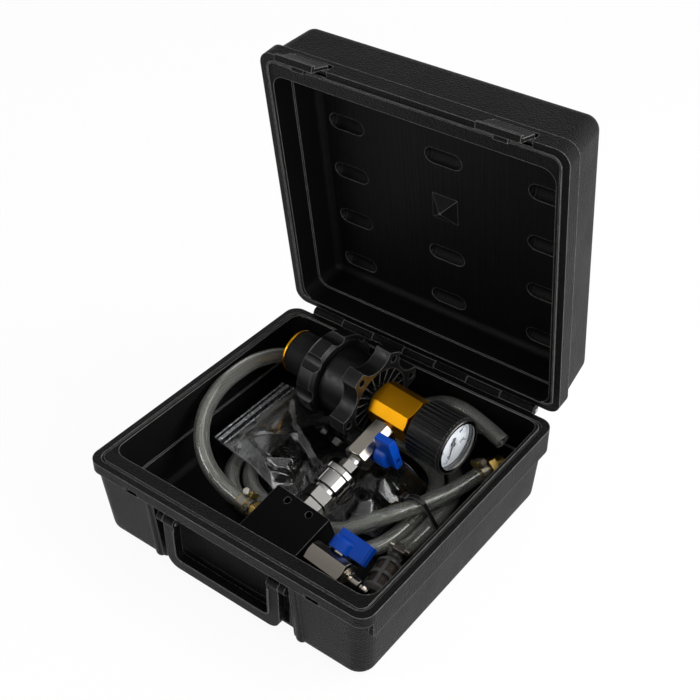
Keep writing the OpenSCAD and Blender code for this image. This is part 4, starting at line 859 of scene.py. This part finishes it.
class KIT_OT_yielding(bpy.types.Operator):
    """Rubber sleeve and coupler spring, copied as smooth pieces of their own in place of the CAD nodes"""

    bl_idname = "kit.yielding"
    bl_label = "Yielding pieces"

    def execute(self, context):
        for node, slot, joint, axis, play in YIELDING:
            mesh = NODES[node].data.copy()
            along = [vertex.co.dot(axis) for vertex in mesh.vertices]
            piece = bpy.data.objects.new(node + "_soft", mesh)
            context.collection.objects.link(piece)
            pick(piece)
            bpy.ops.object.mode_set(mode="EDIT")
            bpy.ops.mesh.select_all(action="SELECT")
            bpy.ops.mesh.remove_doubles(threshold=MERGE_SOLID)
            bpy.ops.object.mode_set(mode="OBJECT")
            bpy.ops.object.shade_smooth_by_angle(angle=SMOOTH_SOLID)
            own(piece, mesh.materials[0], "kit")
            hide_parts(node)
            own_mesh(piece)
        return {"FINISHED"}


class KIT_OT_finishes(bpy.types.Operator):
    """Finishes of the solid pieces"""

    bl_idname = "kit.finishes"
    bl_label = "Finishes"

    def execute(self, context):
        sizes, colours = kit_settings(context)
        base = case_plastic("case_base_plastic", colours, sizes, (0, 0, 0), (0, 0, 0), BASE_INNER)
        shut = Matrix.Rotation(LID_SHUT, 3, "X")
        lid = case_plastic("case_lid_plastic", colours, sizes, (LID_SHUT, 0, 0), HINGE - shut @ HINGE,
                           LID_INNER)
        dress(base, "case_base", "carry_handle")
        dress(lid, "case_lid", "latch_left", "latch_right")
        # The lighter tones passed to the nylon, rubber and metal finishes below paint a highlight along
        # their edges, and on the rubber also colour its dusty bloom
        dress(moulded_nylon("handwheel_nylon", HANDWHEEL_BLACK, 0.3, 0.32), "star_handwheel",
              "fluted_collar", "cable_tie")
        dress(matte_rubber("black_rubber", (0.006, 0.006, 0.0063)), "rubber_sleeve")
        dress(matte_rubber("adapter_rubber", (0.012, 0.012, 0.0125), 0.3), "adapter_large",
              "adapter_medium", "adapter_small")
        dress(moulded_nylon("boot_rubber", (0.002, 0.002, 0.0021), 0.1), "gauge_boot")
        dress(gold_anodised(colours), "filler_body", "end_washer")
        nickel = brushed_metal("nickel_plate", colours.nickel, 0.2, MILLED, TOOL_TURN, 0.03,
                               (0.62, 0.58, 0.53))
        dress(nickel, "valve_a_body", "valve_b_body", "valve_a_gland", "valve_b_gland", "air_plug",
              "strainer_clamp")
        chrome = brushed_metal("chrome_plate", (0.42, 0.41, 0.395), 0.12, POLISHED, TOOL_TURN, 0.02,
                               (0.75, 0.74, 0.73))
        dress(chrome, "quick_plug", "coupler_body", "coupler_sleeve", "coupler_nipple", "valve_a_ball",
              "valve_b_ball")
        brass = brushed_metal("turned_brass", (0.46, 0.31, 0.09), 0.25, TURNED, TOOL_TURN, 0.04,
                              (0.65, 0.47, 0.2))
        dress(brass, "gauge_stem", "gauge_movement", "valve_a_nipple", "valve_b_nipple", "valve_a_stem",
              "valve_b_stem", "venturi_nozzle", "hose_barb")
        dull = brushed_metal("dull_brass", (0.26, 0.175, 0.05), 0.34, TURNED, (0, 0, 0), 0.04,
                             (0.4, 0.29, 0.12))
        dress(dull, "feed_fitting")
        band = band_metal("zinc_band", "exhaust_clamp", TOOL_X, (0.34, 0.33, 0.31), (0.5, 0.38, 0.1))
        dress(band, "exhaust_clamp")
        band = band_metal("feed_band", "feed_clamp", FEED_LAST, (0.4, 0.36, 0.28), (0.4, 0.3, 0.08))
        dress(band, "feed_clamp")
        steel = brushed_metal("plain_steel", (0.42, 0.42, 0.43), 0.3, DRAWN, (0, 0, 0))
        dress(steel, "hinge_pin", "handle_pins", "latch_pins", "centre_tube", "coupler_spring")
        dress(gloss_lever(colours), "valve_a_lever", "valve_b_lever")
        dress(black_anodised(), "venturi_block")
        dress(cloudy_plastic(), "strainer_cage")
        dress(wire_mesh(), "strainer_mesh")
        dress(enamel("gauge_black", (0.005, 0.005, 0.0055), (0.009, 0.009, 0.0095), 0.16), "gauge_case")
        bezel = brushed_metal("bezel_black", (0.24, 0.23, 0.22), 0.14, TURNED, TOOL_TURN, 0.02,
                              (0.4, 0.39, 0.38))
        dress(bezel, "gauge_bezel")
        dress(enamel("dial_white", (0.86, 0.92, 0.98), (0.92, 0.96, 1.0), 0.4), "gauge_dial")
        dress(enamel("needle_black", (0.006, 0.006, 0.006), (0.014, 0.014, 0.014), 0.4), "gauge_needle")
        dress(clear_window(), "gauge_lens")
        return {"FINISHED"}


# Stage
CAMERA_AT = (0.4713, -0.5871, 0.7555)
CAMERA_AZIMUTH = 37.17
CAMERA_ELEVATION = 37.82
CAMERA_LENS = 63.52
# Name, place, target, size in metres and power in watts
LAMPS = [("key", (1.15, 0.5, 0.85), (0.0, 0.0, 0.1), 1.3, 17.0),
         ("top", (0.35, 0.6, 1.35), (0.0, 0.0, 0.05), 1.0, 3.5),
         ("side", (1.7, -0.25, 0.4), (0.1, 0.0, 0.15), 0.6, 12.0),
         ("front", (-0.9, -1.1, 0.8), (0.0, 0.0, 0.1), 0.4, 5.0)]
SWEEP_R = 4.0
SWEEP_H = 1.3
SWEEP_GLOW = 0.93
SWEEP_BEVEL = 0.5
SWEEP_SIDES = 96
SWEEP_SEGMENTS = 8
FLOOR_GAP = 0.0005
FLOOR_TONE = 0.85
# The sky's strength away from the key lamp and towards it, and the cosine at which it starts to rise
SKY_SHADE = 0.12
SKY_LIGHT = 1.0
SKY_FROM = -0.4


class KIT_OT_camera(bpy.types.Operator):
    """Camera at the photograph's place"""

    bl_idname = "kit.camera"
    bl_label = "Camera"

    def execute(self, context):
        lens = bpy.data.cameras.new("camera")
        lens.lens = CAMERA_LENS
        lens.clip_start = 0.01
        camera = bpy.data.objects.new("camera", lens)
        context.collection.objects.link(camera)
        camera.location = CAMERA_AT
        camera.rotation_euler = (math.radians(90 - CAMERA_ELEVATION), 0, math.radians(CAMERA_AZIMUTH))
        context.scene.camera = camera
        return {"FINISHED"}


def seen_rays(nodes, links):
    """1 for rays that the camera, a gloss or a clear piece sends out."""
    path = nodes.new("ShaderNodeLightPath").outputs
    total = path["Is Camera Ray"]
    for name in ("Is Glossy Ray", "Is Transmission Ray"):
        both = nodes.new("ShaderNodeMath")
        both.operation = "MAXIMUM"
        links.new(total, both.inputs[0])
        links.new(path[name], both.inputs[1])
        total = both.outputs[0]
    return total


def pale_floor():
    """Pale floor that shows nearly white, and lights the pieces as a pale floor does."""
    pale = bpy.data.materials.new("pale_floor")
    pale.use_nodes = True
    nodes = pale.node_tree.nodes
    links = pale.node_tree.links
    shader = nodes["Principled BSDF"]
    shader.inputs["Base Color"].default_value = (FLOOR_TONE, FLOOR_TONE, FLOOR_TONE, 1.0)
    shader.inputs["Roughness"].default_value = 0.9
    shader.inputs["Specular IOR Level"].default_value = 0.0
    glow = nodes.new("ShaderNodeEmission")
    mix = nodes.new("ShaderNodeMixShader")
    share = nodes.new("ShaderNodeMath")
    share.operation = "MULTIPLY"
    share.inputs[1].default_value = SWEEP_GLOW
    links.new(seen_rays(nodes, links), share.inputs[0])
    links.new(share.outputs[0], mix.inputs[0])
    links.new(shader.outputs[0], mix.inputs[1])
    links.new(glow.outputs[0], mix.inputs[2])
    links.new(mix.outputs[0], nodes["Material Output"].inputs["Surface"])
    return pale


def graded_sky(toward):
    """White sky, brightest in one direction."""
    world = bpy.data.worlds.new("surroundings")
    world.use_nodes = True
    nodes = world.node_tree.nodes
    links = world.node_tree.links
    facing = nodes.new("ShaderNodeVectorMath")
    facing.operation = "DOT_PRODUCT"
    facing.inputs[1].default_value = toward
    links.new(nodes.new("ShaderNodeTexCoord").outputs["Generated"], facing.inputs[0])
    tone = nodes.new("ShaderNodeMapRange")
    tone.inputs["From Min"].default_value = SKY_FROM
    tone.inputs["To Min"].default_value = SKY_SHADE
    tone.inputs["To Max"].default_value = SKY_LIGHT
    links.new(facing.outputs["Value"], tone.inputs["Value"])
    links.new(tone.outputs["Result"], nodes["Background"].inputs["Strength"])
    nodes["Background"].inputs["Color"].default_value = (1.0, 1.0, 1.0, 1.0)
    return world


class KIT_OT_stage(bpy.types.Operator):
    """Pale floor with a low sweep all round, a sky that brightens towards the key lamp, and soft lamps"""

    bl_idname = "kit.stage"
    bl_label = "Stage"

    def execute(self, context):
        deselect()
        bpy.ops.mesh.primitive_cylinder_add(vertices=SWEEP_SIDES, radius=SWEEP_R, depth=SWEEP_H,
                                            location=(0, 0, SWEEP_H / 2 - FLOOR_GAP))
        floor = context.object
        floor.name = "floor"
        settle(floor, Matrix.Identity(4))
        select_faces(floor, lambda face: face.normal.z > 0.5)
        bpy.ops.mesh.delete(type="FACE")
        bpy.ops.object.mode_set(mode="OBJECT")
        apply_modifier(floor, "BEVEL", width=SWEEP_BEVEL, segments=SWEEP_SEGMENTS)
        pick(floor)
        bpy.ops.object.shade_smooth_by_angle(angle=SMOOTH_SOLID)
        floor.data.materials.append(pale_floor())
        context.scene.world = graded_sky(Vector(LAMPS[0][1]).normalized())
        for name, at, target, size, power in LAMPS:
            lamp = bpy.data.lights.new(name, "AREA")
            lamp.size = size
            lamp.energy = power
            obj = bpy.data.objects.new(name, lamp)
            context.collection.objects.link(obj)
            obj.location = at
            obj.rotation_euler = (Vector(target) - Vector(at)).to_track_quat("-Z", "Y").to_euler()
        context.scene.view_settings.view_transform = "Standard"
        return {"FINISHED"}


class KIT_PT_panel(bpy.types.Panel):
    bl_idname = "KIT_PT_panel"
    bl_label = "Filler kit"
    bl_space_type = "VIEW_3D"
    bl_region_type = "UI"
    bl_category = "Filler kit"

    def draw(self, context):
        for group in (context.scene.kit_sizes, context.scene.kit_colours):
            for key in group.bl_rna.properties.keys():
                if key not in {"rna_type", "name"}:
                    self.layout.prop(group, key)
        for operator in OPERATORS:
            self.layout.operator(operator.bl_idname)


OPERATORS = (KIT_OT_camera, KIT_OT_hoses, KIT_OT_bag, KIT_OT_gauge, KIT_OT_finishes, KIT_OT_yielding,
             KIT_OT_stage)
CLASSES = (KitSizes, KitColours) + OPERATORS + (KIT_PT_panel,)


def register():
    for cls in CLASSES:
        bpy.utils.register_class(cls)
    bpy.types.Scene.kit_sizes = PointerProperty(type=KitSizes)
    bpy.types.Scene.kit_colours = PointerProperty(type=KitColours)


def unregister():
    del bpy.types.Scene.kit_colours
    del bpy.types.Scene.kit_sizes
    for cls in reversed(CLASSES):
        bpy.utils.unregister_class(cls)


def main():
    register()
    bpy.ops.kit.camera()
    bpy.ops.kit.hoses()
    bpy.ops.kit.bag()
    bpy.ops.kit.gauge()
    bpy.ops.kit.finishes()
    bpy.ops.kit.yielding()
    bpy.ops.kit.stage()


if __name__ == "__main__":
    main()
